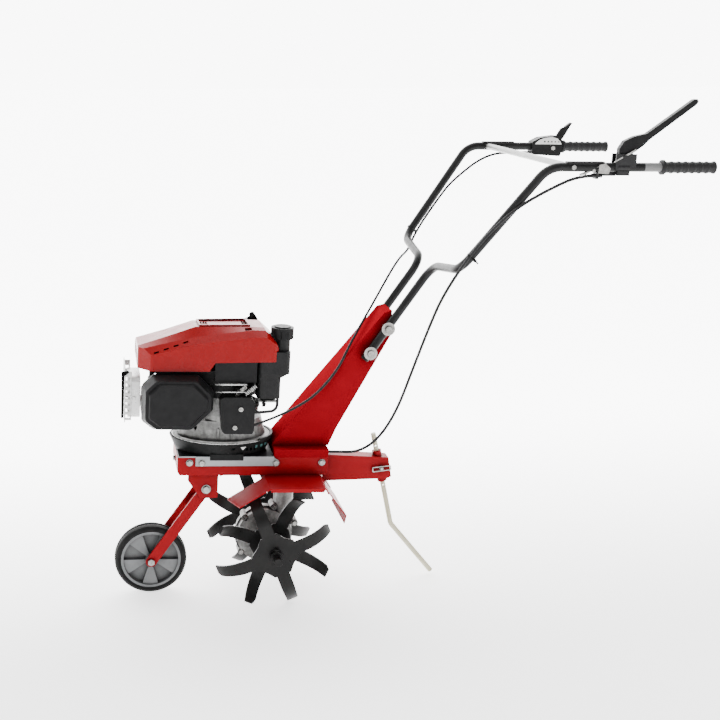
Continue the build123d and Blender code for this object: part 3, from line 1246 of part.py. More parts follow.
def control_cover():
    x0, x1, z0, z1, y0, y1 = CTRL_X0, CTRL_X1, CTRL_Z0, CTRL_Z1, CTRL_Y0, CTRL_Y1
    pts = [
        (x0, z1 - 6), (x0 + 8, z0 + 8), (x0 + 16, z0), (x1 - 4, z0),
        (x1, z0 + 10), (x1, z1 - 16), (x1 - 10, z1), (x0 + 12, z1),
    ]
    s = plate_y(pts, y0, y1, 5)
    room = [(x0 + 12, z1 - 10), (x0 + 20, z0 + 8), (x1 - 8, z0 + 8), (x1 - 8, z1 - 20)]
    s -= plate_y(room, y0 + 6, y1 + 1, 4)
    s -= box(x0 + 16, x1 - 22, ARM_Y - 4, ARM_Y + 6, z1 - 34, z1 + 1)
    for x, z in CTRL_SCREWS:
        s -= cyl_y(x, z, 2.5 + HOLE, y0 - 10, y1 + 1)
    boss = cyl_y(CRANK_X, z0 + 47, 10, y0 + 5, -BODY_R + 8)
    return s + boss - cyl_z(CRANK_X, 0, BODY_R, 300, 450) + governor_bracket()


def control_screws():
    out = []
    for x, z in CTRL_SCREWS:
        y = CTRL_Y0
        s = cyl_y(x, z, 6.0, y - 3.5, y) + cyl_y(x, z, 2.5, y - 1, y + 14)
        s -= box(x - 5, x + 5, y - 5, y - 2.3, z - 0.8, z + 0.8)
        out.append(s)
    return out


def throttle_arm():
    y0, y1 = ARM_Y - 2, ARM_Y + 2
    s = strap(ARM_X, ARM_Z, ARM_X - 10, ARM_Z - 24, 9, y0, y1)
    s += strap(ARM_X, ARM_Z, ARM_X + 16, ARM_Z + 12, 9, y0, y1)
    s += cyl_y(ARM_X, ARM_Z, 6.5, y0 - 2, y1 + 2)
    s -= cyl_y(ARM_X, ARM_Z, PIVOT_R + RUN, -200, 0)
    s -= cyl_y(ARM_X + 16, ARM_Z + 12, 1.6, -200, 0)
    return s


def governor_bracket():
    x0, x1 = ARM_X - 8, CTRL_X1 - 2
    y = ARM_Y + 4 + GAP
    s = plate_y(rect(x0, x1, ARM_Z - 9, ARM_Z + 9), y, y + 3)
    s += cyl_y(ARM_X, ARM_Z, PIVOT_R, ARM_Y - 7, y + 1)
    s += cyl_y(ARM_X, ARM_Z, 5.5, ARM_Y - 8, ARM_Y - 4 - GAP)
    s += box(x1 - 22, x1 - 10, y, y + 3, CTRL_Z1 - 4, ARM_Z - 8)
    s += box(x1 - 14, x1 - 2, y - 14, y, ARM_Z - 4, ARM_Z + 9)
    return s


def muffler():
    s = plate_x([(-62, 352), (46, 352), (46, 466), (-62, 466)], MUFF_X0, MUFF_X1, 16)
    s += cyl_x(-8, BORE_Z + 4, 15, MUFF_X1 - 1, HEAD_X - 42)
    s += plate_x([(-66, 405), (50, 405), (50, 412), (-66, 412)], MUFF_X0 + 12, MUFF_X1 - 12)
    s += cyl_y(MUFF_X0 + 16, 372, 11, 40, 74)
    s -= cyl_y(MUFF_X0 + 16, 372, 8.5, 50, 80)
    return s


def muffler_guard():
    x = MUFF_X0 - 9
    s = plate_x([(-70, 342), (54, 342), (54, 490), (-70, 490)], x, x + 2, 8)
    for j in (-70, 52):
        s += box(x, MUFF_X0 + 9, j, j + 2, 350, 482)
    for i in range(7):
        z = 356 + 17 * i
        for y0, y1 in ((-60, -12), (-4, 44)):
            s -= box(x - 1, x + 3, y0, y1, z, z + 9)
        s -= box(x + 3, MUFF_X0 + 5, -80, 70, z, z + 9)
    for y in (-40, 24):
        s += cyl_x(y, 409.0, 5, x + 1, MUFF_X0)
    return s - cyl_y(MUFF_X0 + 16, 372, 12, 40, 80)


# handlebars
def handle_points(side):
    a = (HANDLE_X - 24 * HDX, side * TUBE_Y, HANDLE_Z - 24 * HDZ)
    b = (KNEE_X, side * TUBE_Y, KNEE_Z)
    c = (KNEE_X + 7, side * (GRIP_Y - 52), KNEE_Z + 26)
    d = (BEND_X, side * GRIP_Y, BEND_Z)
    e = (GRIP_X1, side * GRIP_Y, GRIP_Z1)
    return [a, b, c, d, e]


def handlebar(side):
    s = pipe(handle_points(side), HANDLE_RAD, TUBE_R, TUBE_R - TUBE_T)
    pad = box(-14, 78, -9, 9, TUBE_R - 4, TUBE_R + 2.5) - Rot(0, 90, 0) * Cylinder(TUBE_R - TUBE_T / 2, 400)
    s += on_grip(pad, side, BRACE_BACK)
    for x, z in ((HANDLE_X, HANDLE_Z), (BOLT2_X, BOLT2_Z)):
        s -= cyl_y(x, z, BOLT_R + HOLE, -80, 80)
    x, y, z = grip_point(0, 0, 0, 1, BRACE_BACK)
    return s - cyl_y(x, z, 3 + HOLE, -400, 400)


def left_handlebar():
    return handlebar(-1)


def right_handlebar():
    return handlebar(1)


def on_grip(s, side, back=0.0):
    """Carry a shape drawn about the x axis onto the grip line, x = 0 at the tube end."""
    return Pos(GRIP_X1, side * GRIP_Y, GRIP_Z1) * Rot(0, -GRIP_SLOPE, 0) * Pos(-back, 0, 0) * s


def grip_point(x, y, z, side, back):
    """The design frame point for a point drawn as in on_grip."""
    a = math.radians(GRIP_SLOPE)
    u = x - back
    across = GRIP_X1 + u * math.cos(a) - z * math.sin(a)
    up = GRIP_Z1 + u * math.sin(a) + z * math.cos(a)
    return (across, side * GRIP_Y + y, up)


def grip(side):
    n = 7
    pts = [(4.0, 0.0), (4.0, GRIP_R - 2), (2.0, GRIP_R)]
    step = (GRIP_LEN - 14.0) / n
    x = 0.0
    for k in range(n):
        pts.append((x, GRIP_R - 0.4))
        pts.append((x - step * 0.3, GRIP_R - 2.2))
        pts.append((x - step * 0.7, GRIP_R - 2.2))
        x -= step
        pts.append((x, GRIP_R - 0.4))
    out = []
    for p in pts:
        if not out or abs(out[-1][0] - p[0]) + abs(out[-1][1] - p[1]) > 1e-6:
            out.append(p)
    out += [
        (x - 2, GRIP_R + 2.5), (x - 8, GRIP_R + 2.5), (x - 10, GRIP_R - 1),
        (x - 10, TUBE_R), (0.0, TUBE_R), (0.0, 0.0),
    ]
    f = outline(out)
    s = revolve(f, Axis.X, 360)
    return on_grip(s, side)


def grips():
    return Compound(children=[grip(-1), grip(1)])


def cross_brace():
    x, y, z = grip_point(0, 0, 0, 1, BRACE_BACK)
    e = GRIP_Y - TUBE_R
    s = cyl_y(x, z, 8, -e, e) - cyl_y(x, z, 6, -e + 22, e - 22)
    return s - cyl_y(x, z, 3 + HOLE, -e - 1, e + 1)


def handle_bolts():
    out = []
    y = TUBE_Y + TUBE_R
    for x, z in ((HANDLE_X, HANDLE_Z), (BOLT2_X, BOLT2_Z)):
        s = cyl_y(x, z, BOLT_R, -y - 3, y + 3)
        for j in (-1, 1):
            y0, y1 = sorted((j * y, j * (y + 3)))
            s += cyl_y(x, z, 18, y0, y1)
            y0, y1 = sorted((j * (y + 2.5), j * (y + 9)))
            s += cyl_y(x, z, 8.5, y0, y1)
        out.append(s)
    x, y, z = grip_point(0, 0, 0, 1, BRACE_BACK)
    for j in (-1, 1):
        out.append(bolt((x, j * (GRIP_Y + TUBE_R), z), (0, -j, 0), 3.0, 2 * TUBE_R + 16, 6, 4))
    return out


def frame_bolts():
    out = handle_bolts() + gearbox_bolts() + control_screws() + [fork_pivot_bolt()]
    for x, t in SIDE_BOLTS:
        for j in (-1, 1):
            p = (x, j * (RAIL_Y + t), SIDE_BOLT_Z)
            out.append(bolt(p, (0, -j, 0), BOLT_R, t + RAIL_T + 8, 7.5, 5, 9.5, t + RAIL_T))
    for x, y in BRACKET_BOLTS:
        n = FLOOR_T + BRACKET_T
        out.append(bolt((x, y, RAIL_Z + FLOOR_T), (0, 0, -1), BOLT_R, n + 7, 7, 4.5, 0, n))
    for x, y in NECK_BOLTS:
        out.append(bolt((x, y, RAIL_Z - FLANGE_T), (0, 0, 1), BOLT_R, FLANGE_T + FLOOR_T, 7, 5))
    for x, y in GUARD_BOLTS:
        out.append(bolt((x, y, RAIL_Z - GUARD_T), (0, 0, 1), BOLT_R, GUARD_T + FLOOR_T, 7, 4))
    for y, z in HITCH_BOLTS:
        out.append(bolt((FRAME_X1 - RAIL_T, y, z), (1, 0, 0), BOLT_R - 1, RAIL_T + 4, 5.5, 4))
    out.append(bolt((FRAME_X0, 0, RAIL_Z + 22), (1, 0, 0), BOLT_R, RAIL_T + 7, 7, 5, 10, RAIL_T))
    for x, y in PLATE_BOLTS:
        n = PLATE_T + RISER_H + 8
        out.append(bolt((x, y, RAIL_TOP), (0, 0, 1), BOLT_R, n + 7, 7, 4.5, 0, n))
    return Compound(children=out)


# clutch lever on the left, throttle on the right
def clutch_bracket():
    r = TUBE_R
    s = Rot(0, 90, 0) * Cylinder(r + 3, 30)
    s += box(-22, 30, -13, -10, -6, LEVER_UP + 8) + box(-22, 30, 10, 13, -6, LEVER_UP + 8)
    s += box(-15, 15, -13, 13, -19, -8)
    s -= box(16, 40, -20, 20, -7, -4)
    s += box(-66, -10, 9, 13, -22, -6) + box(-66, -60, -8, 13, -28, -12)
    s += Pos(-63, -2, -20) * Rot(0, 90, 0) * Cylinder(5, 26)
    s -= Pos(-63, -2, -20) * Rot(0, 90, 0) * Cylinder(CABLE_R + 0.1, 60)
    s -= Rot(0, 90, 0) * Cylinder(r, 200)
    s += Pos(0, 0, LEVER_UP) * Rot(90, 0, 0) * Cylinder(PIVOT_R, 30)
    s += Pos(0, -14, LEVER_UP) * Rot(90, 0, 0) * Cylinder(5.5, 3)
    return on_grip(s, -1, LEVER_BACK)


def clutch_lever():
    pts = [
        (-13, -4), (-6, -8), (6, -8), (17, 7), (44, 26), (60, 42), (168, 124), (173, 131),
        (170, 138), (161, 136), (52, 56), (20, 49), (-3, 38), (-14, 20),
    ]
    s = plate_y(pts, -8, 8, 3)
    chan = [(20, 5), (46, 22), (63, 39), (166, 117), (162, 126), (56, 46), (40, 34), (16, 17)]
    s -= plate_y(chan, -5.5, 5.5)
    s -= Rot(90, 0, 0) * Cylinder(PIVOT_R + RUN, 40)
    return on_grip(Pos(0, 0, LEVER_UP) * s, -1, LEVER_BACK)


def throttle_body():
    side = [(-54, -22), (32, -27), (38, -4), (37, 14), (30, 29), (16, 32), (-30, 26), (-54, 14)]
    s = plate_y(side, -18, 18, 5)
    s -= Rot(0, 90, 0) * Cylinder(TUBE_R, 300)
    s -= box(14, 60, -4 - GAP, 4 + GAP, 0, 50)
    s += Pos(THROTTLE_PX, 0, THROTTLE_PZ) * Rot(90, 0, 0) * Cylinder(PIVOT_R, 20)
    s -= Rot(0, 90, 0) * Cylinder(TUBE_R, 300)
    s -= Pos(-50, 0, -17) * Rot(0, 90, 0) * Cylinder(CABLE_R, 24)
    return on_grip(s, 1, THROTTLE_BACK)


def throttle_lever():
    s = plate_y([(-6, -6), (6, -6), (15, 6), (38, 47), (33, 50), (20, 38), (6, 33), (-7, 12)], -3, 3, 2)
    s += plate_y([(14, 36), (21, 36), (38, 47), (33, 50), (20, 40)], -7, 7, 1.2)
    s -= Rot(90, 0, 0) * Cylinder(PIVOT_R + RUN, 40)
    s = Pos(THROTTLE_PX, 0, THROTTLE_PZ) * s
    return on_grip(s, 1, THROTTLE_BACK)


def clutch_cable():
    z = RAIL_TOP + 11
    g = TUBE_R + CABLE_R + 1.0
    pts = [
        grip_point(-52, -2, -20, -1, LEVER_BACK),
        grip_point(-104, -2, -20, -1, LEVER_BACK),
        (BEND_X + 7, -GRIP_Y - 2, BEND_Z - 53),
        on_rise(0.62, -1, 0.0, -g),
        on_rise(0.36, -1, -0.62 * g, -0.78 * g),
        on_rise(0.13, -1, -0.62 * g, -0.78 * g),
        (KNEE_X - 20, -GRIP_Y + 47, KNEE_Z - 19),
        (FRAME_X1 + 150, CABLE_IN_Y, z),
        (FRAME_X1 - 40, CABLE_IN_Y, z),
        (WORM_X + 10, CABLE_IN_Y + 10, RAIL_TOP - 5),
        (IDLER_PX + 40, IDLER_PY + 22, RAIL_TOP - 7),
    ]
    return pipe(pts, [60, 90, 60, 60, 60, 90, 150, 60, 60], CABLE_R)


def throttle_cable():
    g = TUBE_R + CABLE_R + 1.0
    pts = [
        grip_point(-42, 0, -17, 1, THROTTLE_BACK),
        grip_point(-90, 0, -17, 1, THROTTLE_BACK),
        (BEND_X + 57, GRIP_Y - 1, BEND_Z - 22),
        (BEND_X - 38, GRIP_Y - 11, BEND_Z - 98),
        on_rise(0.50, 1, g, 0.0),
        on_rise(0.10, 1, g, 0.0),
        (KNEE_X + 7, GRIP_Y - 96, KNEE_Z - 4),
        (KNEE_X - 52, 110, KNEE_Z - 11),
        (HANDLE_X + 14, 40, HANDLE_Z + 111),
        (HANDLE_X - 48, -30, HANDLE_Z + 36),
        (HANDLE_X - 94, -58, HANDLE_Z - 65),
        (60, -72, CTRL_Z0 + 53),
        (CTRL_X1 + 1, -112, CTRL_Z0 + 19),
    ]
    return pipe(pts, [60, 90, 60, 60, 40, 50, 60, 120, 90, 70, 90], CABLE_R - 0.4)


def on_rise(t, side, below, out):
    """Point beside the rising tube: t from knee to bend, then offsets down to the rear and outward."""
    a, b = Vector(*handle_points(side)[2]), Vector(*handle_points(side)[3])
    d = (b - a).normalized()
    n = Vector(d.Z, 0, -d.X).normalized()
    p = a + (b - a) * t + n * below + Vector(0, out, 0)
    return (p.X, p.Y, p.Z)


def build_all():
    case = gear_case()
    parts = {
        "chassis_frame": chassis_frame(),
        "engine_plate": engine_plate(),
        "engine_riser": engine_riser(),
        "handle_column": handle_column(),
        "tine_guard": tine_guard(),
        "hitch_bar": hitch_bar(),
        "depth_spur": depth_spur(),
        "spur_pin": spur_pin(),
        "wheel_bracket": wheel_bracket(),
        "wheel_fork": wheel_fork(),
        "wheel_axle": wheel_axle(),
        "wheel_rim": wheel_rim(),
        "tyre": tyre(),
        "gearbox_left": gearbox_left(case),
        "gearbox_right": gearbox_right(case),
        "gearbox_bearings": gearbox_bearings(),
        "tine_shaft": tine_shaft(),
        "tine_pins": tine_pins(),
        "star_left_outer": star_left_outer(),
        "star_left_inner": star_left_inner(),
        "star_right_inner": star_right_inner(),
        "star_right_outer": star_right_outer(),
        "worm_wheel": worm_wheel(),
        "worm_shaft": worm_shaft(),
        "drive_pulley": drive_pulley(),
        "driven_pulley": driven_pulley(),
        "v_belt": v_belt(),
        "idler_arm": idler_arm(),
        "idler_pulley": idler_pulley(),
        "crankcase": crankcase(),
        "oil_cap": oil_cap(),
        "cylinder_head": cylinder_head(),
        "spark_plug": spark_plug(),
        "crankshaft": crankshaft(),
        "flywheel": flywheel(),
        "blower_housing": blower_housing(),
        "fuel_tank": fuel_tank(),
        "fuel_cap": fuel_cap(),
        "fuel_hose": fuel_hose(),
        "engine_cowl": engine_cowl(),
        "cowl_grille": cowl_grille(),
        "starter_grip": starter_grip(),
        "air_filter_cover": air_filter_cover(),
        "air_filter_base": air_filter_base(),
        "carburettor": carburettor(),
        "control_cover": control_cover(),
        "throttle_arm": throttle_arm(),
        "muffler": muffler(),
        "muffler_guard": muffler_guard(),
        "left_handlebar": left_handlebar(),
        "right_handlebar": right_handlebar(),
        "grips": grips(),
        "cross_brace": cross_brace(),
        "frame_bolts": frame_bolts(),
        "clutch_bracket": clutch_bracket(),
        "clutch_lever": clutch_lever(),
        "throttle_body": throttle_body(),
        "throttle_lever": throttle_lever(),
        "clutch_cable": clutch_cable(),
        "throttle_cable": throttle_cable(),
    }
    return parts


def stance():
    return Pos(SHIFT_X, 0, AXIS_H) * Rot(0, PITCH, 0)


def main():
    place = stance()
    for name, shape in build_all().items():
        export_step(place * shape, "parts/" + name + ".step")


if __name__ == "__main__":
    main()
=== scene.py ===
"""Garden tiller: looks of the CAD pieces, small pieces that only the scene has, studio and camera."""
import json
import math

import bpy
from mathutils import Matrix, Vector


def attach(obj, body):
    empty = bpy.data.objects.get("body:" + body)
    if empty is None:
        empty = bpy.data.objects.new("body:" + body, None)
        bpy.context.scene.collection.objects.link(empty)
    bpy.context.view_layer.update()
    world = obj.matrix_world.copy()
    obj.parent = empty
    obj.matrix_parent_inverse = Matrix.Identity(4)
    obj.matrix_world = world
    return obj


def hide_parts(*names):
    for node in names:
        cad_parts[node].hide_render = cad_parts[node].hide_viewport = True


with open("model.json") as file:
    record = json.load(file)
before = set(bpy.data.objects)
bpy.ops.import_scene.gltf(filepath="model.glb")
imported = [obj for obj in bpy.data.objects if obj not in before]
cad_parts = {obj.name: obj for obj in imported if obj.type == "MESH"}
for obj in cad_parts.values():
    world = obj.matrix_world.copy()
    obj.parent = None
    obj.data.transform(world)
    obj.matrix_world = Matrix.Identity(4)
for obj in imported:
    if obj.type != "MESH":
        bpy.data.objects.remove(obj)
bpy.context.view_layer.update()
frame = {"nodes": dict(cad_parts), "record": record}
nodes = frame["nodes"]
slot_of = {subpart["node"]: subpart["material_slot"] for subpart in frame["record"]["subparts"]}

# The CAD is drawn in a design frame in millimetres: origin on the tine axis, x to the rear along the rails.
# The row frame is in metres, with the machine nose up on its front wheel and its tines.
MM_PER_M = 1000
PITCH = math.radians(2.6)
SHIFT_X = -0.3123655
AXIS_H = 0.1587211


def to_row(x, y, z):
    """Point of the design frame in the row frame."""
    c, s = math.cos(PITCH), math.sin(PITCH)
    along, up = x * c + z * s, z * c - x * s
    return Vector((SHIFT_X + along / MM_PER_M, y / MM_PER_M, AXIS_H + up / MM_PER_M))


# Shader nodes. The mix node repeats its socket names for each kind of value, so its sockets go by number.
MIX_SHARE = 0
MIX_VALUE_A = 2
MIX_VALUE_B = 3
MIX_COLOR_A = 6
MIX_COLOR_B = 7
MIX_VALUE_OUT = 0
MIX_COLOR_OUT = 2


def feed(tree, node, values):
    """Values for a node's sockets: another node's output is linked, a constant is set on the socket."""
    for socket, value in values.items():
        if isinstance(value, bpy.types.NodeSocket):
            tree.links.new(value, node.inputs[socket])
        else:
            node.inputs[socket].default_value = value


def add(tree, kind, values):
    """New node with values on its sockets."""
    node = tree.nodes.new(kind)
    feed(tree, node, values)
    return node


def maths(tree, operation, first, second):
    """Result of an operation on two values."""
    node = tree.nodes.new("ShaderNodeMath")
    node.operation = operation
    feed(tree, node, {0: first, 1: second})
    return node.outputs[0]


def ramp(tree, value, start, end, low, high, kind="SMOOTHSTEP"):
    """Value that goes from low to high while another goes from start to end."""
    node = tree.nodes.new("ShaderNodeMapRange")
    node.interpolation_type = kind
    feed(tree, node, {"Value": value, "From Min": start, "From Max": end, "To Min": low, "To Max": high})
    return node.outputs["Result"]


def noise(tree, place, scale, detail, roughness=0.5):
    """Noise at a place."""
    node = add(tree, "ShaderNodeTexNoise",
               {"Vector": place, "Scale": scale, "Detail": detail, "Roughness": roughness})
    return node.outputs["Fac"]


def two_tones(tree, value, colors, stops):
    """Colour that goes from the first to the second while a value goes from stop to stop."""
    node = add(tree, "ShaderNodeValToRGB", {"Fac": value})
    for element, color, stop in zip(node.color_ramp.elements, colors, stops):
        element.position = stop
        element.color = (*color, 1)
    return node.outputs["Color"]


def mix_colors(tree, share, first, second):
    """First colour, giving way to the second by its share."""
    node = tree.nodes.new("ShaderNodeMix")
    node.data_type = "RGBA"
    feed(tree, node, {MIX_SHARE: share, MIX_COLOR_A: first, MIX_COLOR_B: second})
    return node.outputs[MIX_COLOR_OUT]


# What all materials share: noise for the two tones, uneven roughness, painted shade in corners, soft edges,
# fine relief.
TONE_DETAIL = 6.0
TONE_ROUGHNESS = 0.6
TONE_STOPS = (0.32, 0.72)
UNEVEN_SCALE = 2.7
UNEVEN_DETAIL = 4.0
UNEVEN_STOPS = (0.3, 0.7)
ROUGH_LEAST = 0.02
ROUGH_MOST = 1.0
SHADE_SAMPLES = 8
SHADE_POWER = 1.6
SHADE_TONE = 0.12
COAT_ROUGHNESS = 0.08
EDGE_SAMPLES = 4
RELIEF_DETAIL = 3.0
RELIEF_STRENGTH = 1.0


def by_place(tree, coordinates, color, source, axis, low, high, other):
    """Other colour where a coordinate (object place or object normal) lies between low and high."""
    apart = add(tree, "ShaderNodeSeparateXYZ", {0: coordinates.outputs[source]})
    above = maths(tree, "GREATER_THAN", apart.outputs[axis], low)
    below = maths(tree, "LESS_THAN", apart.outputs[axis], high)
    return mix_colors(tree, maths(tree, "MULTIPLY", above, below), color, (*other, 1))


def painted_corner_shade(tree, color, base, reach):
    """Colour that darkens where other faces lie within reach: painted shade in corners and recesses."""
    open_sky = add(tree, "ShaderNodeAmbientOcclusion", {"Distance": reach})
    open_sky.samples = SHADE_SAMPLES
    light = maths(tree, "POWER", open_sky.outputs["AO"], SHADE_POWER)
    dark = [SHADE_TONE * part for part in base]
    return mix_colors(tree, light, (*dark, 1), color)


def relief(tree, place, edge, bump, pitch):
    """Normal with a fine bump, and with softened edges where edge is above zero."""
    height = noise(tree, place, pitch, RELIEF_DETAIL)
    node = add(tree, "ShaderNodeBump", {"Strength": RELIEF_STRENGTH, "Distance": bump, "Height": height})
    if edge:
        soft = add(tree, "ShaderNodeBevel", {"Radius": edge})
        soft.samples = EDGE_SAMPLES
        feed(tree, node, {"Normal": soft.outputs["Normal"]})
    return node.outputs["Normal"]


def material(name, base, alt, rough, bump, pitch, metal=0.0, grain=30.0, spread=0.06, coat=0.0,
             stretch=(1, 1, 1), spec=0.5, edge=0.0012, shade_reach=0.0, paint_and_shade_zone=None):
    """Principled material: two-tone noise, uneven roughness, fine relief, softened edges, painted shade in
    corners.
    """
    made = bpy.data.materials.new(name)
    made.use_nodes = True
    tree = made.node_tree
    coordinates = tree.nodes.new("ShaderNodeTexCoord")
    mapping = add(tree, "ShaderNodeMapping", {"Vector": coordinates.outputs["Object"], "Scale": stretch})
    place = mapping.outputs["Vector"]
    tone = noise(tree, place, grain, TONE_DETAIL, TONE_ROUGHNESS)
    color = two_tones(tree, tone, (base, alt), TONE_STOPS)
    if paint_and_shade_zone:
        color = by_place(tree, coordinates, color, **paint_and_shade_zone)
    # Painted shade: the colour darkens near other faces.
    if shade_reach:
        color = painted_corner_shade(tree, color, base, shade_reach)
    uneven = noise(tree, place, grain * UNEVEN_SCALE, UNEVEN_DETAIL)
    least, most = max(ROUGH_LEAST, rough - spread), min(ROUGH_MOST, rough + spread)
    shader = tree.nodes["Principled BSDF"]
    feed(tree, shader, {
        "Base Color": color,
        "Roughness": ramp(tree, uneven, *UNEVEN_STOPS, least, most, "LINEAR"),
        "Metallic": metal,
        "Specular IOR Level": spec,
        "Normal": relief(tree, place, edge, bump, pitch),
    })
    if coat:
        feed(tree, shader, {"Coat Weight": coat, "Coat Roughness": COAT_ROUGHNESS})
    return made


# One material for each slot of the record. The red shell has no softened edges, so its seams don't show.
# Where a reach of shade is given, the colour darkens near other faces: painted shade.
MAT = {
    "red_paint": material(
        "red_powder_coat", (0.21, 0.003, 0.006), (0.245, 0.004, 0.008), rough=0.36,
        bump=0.00005, pitch=420, grain=16, shade_reach=0.03, spec=0.05),
    "red_plastic": material(
        "red_moulded_shell", (0.19, 0.0016, 0.0024), (0.22, 0.0024, 0.0034), rough=0.28,
        bump=0.00003, pitch=260, coat=0.04, grain=12, shade_reach=0.02, edge=0.0, spec=0.08),
    "black_paint": material(
        "black_enamel", (0.004, 0.004, 0.0045), (0.008, 0.008, 0.0085), rough=0.34,
        bump=0.00004, pitch=500, coat=0.05, grain=24, spec=0.2),
    "tine_black": material(
        "tine_enamel", (0.004, 0.004, 0.004), (0.009, 0.0085, 0.008), rough=0.36,
        spread=0.1, bump=0.00012, pitch=240, grain=20, spec=0.14, edge=0.002),
    "black_plastic": material(
        "black_moulding", (0.003, 0.003, 0.0033), (0.007, 0.007, 0.0073), rough=0.46,
        bump=0.00008, pitch=1500, grain=40, spec=0.12, edge=0.002),
    "grey_steel": material(
        "grey_rolled_steel", (0.20, 0.21, 0.215), (0.27, 0.28, 0.285), rough=0.42,
        metal=0.4, bump=0.00005, pitch=700, grain=30, stretch=(0.25, 1, 1),
        paint_and_shade_zone={"source": "Normal", "axis": "Z", "low": 0.6, "high": 2.0, "other": (0.006, 0.006, 0.007)}),
    "zinc": material(
        "zinc_plate", (0.17, 0.167, 0.16), (0.36, 0.352, 0.34), rough=0.28,
        metal=0.9, bump=0.00003, pitch=900, grain=90, edge=0.0008, shade_reach=0.006),
    "cream_zinc": material(
        "cream_rod", (0.42, 0.39, 0.27), (0.50, 0.47, 0.35), rough=0.42,
        spec=0.2, bump=0.00004, pitch=700, grain=22),
    "cast_alloy": material(
        "cast_alloy", (0.085, 0.085, 0.082), (0.25, 0.25, 0.243), rough=0.48,
        metal=0.6, bump=0.0005, pitch=260, grain=60, spread=0.12, shade_reach=0.02),
    "silver": material(
        "bright_steel", (0.5, 0.5, 0.5), (0.66, 0.66, 0.65), rough=0.26,
        metal=0.7, bump=0.00003, pitch=900, grain=40, stretch=(1, 0.2, 1)),
    "rim_grey": material(
        "grey_nylon", (0.11, 0.115, 0.118), (0.15, 0.155, 0.158), rough=0.5,
        bump=0.00008, pitch=900, grain=30, shade_reach=0.03, spec=0.4),
    "tyre": material(
        "tyre_rubber", (0.004, 0.004, 0.004), (0.008, 0.008, 0.008), rough=0.66,
        bump=0.0002, pitch=600, grain=60, spec=0.14),
    "rubber": material(
        "soft_rubber", (0.010, 0.010, 0.0105), (0.017, 0.017, 0.0175), rough=0.6,
        bump=0.0001, pitch=1200, grain=60, spec=0.16),
    "bronze": material(
        "gear_bronze", (0.40, 0.24, 0.10), (0.50, 0.32, 0.14), rough=0.35,
        metal=1.0, bump=0.00004, pitch=800, grain=40),
}

# Other looks for small pieces of the scene.
TEAL = material(
    "teal_lining", (0.03, 0.09, 0.09), (0.06, 0.15, 0.14), rough=0.6,
    bump=0.0001, pitch=500)
WHITE = material(
    "white_plate", (0.55, 0.55, 0.54), (0.66, 0.66, 0.65), rough=0.45,
    bump=0.00002, pitch=600)
# Matte black for pieces that stand for shade: painted shade.
PAINTED_SHADE_BLACK = material(
    "painted_shade_black", (0.003, 0.003, 0.003), (0.007, 0.007, 0.007), rough=0.7,
    bump=0.0001, pitch=500, spec=0.0)

# The handlebars are black, with a bare stretch of tube between two points in front of the grips.
BARE_FROM = (822, -310, 1066)
BARE_TO = (866, -310, 1066)
TUBE = material(
    "tube_enamel", (0.006, 0.006, 0.0062), (0.011, 0.011, 0.0112), rough=0.36,
    bump=0.00004, pitch=500, grain=24, spec=0.14,
    paint_and_shade_zone={"source": "Object", "axis": "X", "low": to_row(*BARE_FROM).x, "high": to_row(*BARE_TO).x,
          "other": (0.15, 0.15, 0.15)})

# CAD pieces that look different from the rest of their slot.
OWN = {
    "left_handlebar": TUBE,
    "right_handlebar": TUBE,
    "tine_shaft": MAT["tine_black"],
    "tine_pins": MAT["tine_black"],
    "fuel_tank": material(
        "tank_moulding", (0.003, 0.003, 0.0033), (0.007, 0.007, 0.0073), rough=0.46,
        bump=0.00008, pitch=1500, grain=40, spec=0.16, edge=0.0),
    "engine_riser": material(
        "riser_casting", (0.003, 0.0034, 0.0034), (0.008, 0.0085, 0.0085), rough=0.5,
        bump=0.0002, pitch=300, grain=30, spec=0.1),
    "handle_column": material(
        "column_powder_coat", (0.185, 0.003, 0.007), (0.215, 0.004, 0.009), rough=0.42,
        bump=0.00005, pitch=420, grain=16, shade_reach=0.03, spec=0.0),
    "starter_grip": material(
        "grip_moulding", (0.003, 0.003, 0.003), (0.006, 0.006, 0.006), rough=0.6,
        bump=0.0001, pitch=900, spec=0.0, edge=0.002),
    "muffler": material(
        "bright_muffler", (0.66, 0.66, 0.65), (0.78, 0.78, 0.77), rough=0.3,
        metal=0.3, bump=0.00004, pitch=500, grain=30),
    # Faces of the guard that look to the front are near black: painted shade.
    "muffler_guard": material(
        "pressed_guard", (0.42, 0.42, 0.41), (0.58, 0.58, 0.57), rough=0.36,
        metal=0.4, bump=0.00005, pitch=600, grain=40, shade_reach=0.008,
        paint_and_shade_zone={"source": "Normal", "axis": "X", "low": -2.0, "high": -0.6, "other": (0.006, 0.006, 0.006)}),
    "cross_brace": material(
        "brace_steel", (0.16, 0.16, 0.157), (0.24, 0.24, 0.237), rough=0.36,
        metal=0.5, bump=0.00003, pitch=900, grain=40, stretch=(1, 0.2, 1)),
}
for name, node in nodes.items():
    node.data.materials.clear()
    node.data.materials.append(OWN.get(name, MAT[slot_of[name]]))


# Small pieces, drawn from points in the design frame. The rings of a wire start from one direction.
WIRE_START = Vector((0.13, 0.31, 0.94)).normalized()


def piece(name, data, body):
    """Object of a mesh or a curve that rides a body."""
    made = bpy.data.objects.new(name, data)
    bpy.context.scene.collection.objects.link(made)
    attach(made, body)
    return made


def mesh(name, points, faces, slot, look=None, body="chassis", smooth=False):
    """Mesh in the material of its slot, or in another look."""
    data = bpy.data.meshes.new(name)
    data.from_pydata([to_row(*point) for point in points], [], faces)
    data.polygons.foreach_set("use_smooth", [smooth] * len(data.polygons))
    data.materials.append(look or MAT[slot])
    data.update()
    piece(name, data, body)


def turns(count):
    """Angles of equal steps round a circle."""
    return [2 * math.pi * k / count for k in range(count)]


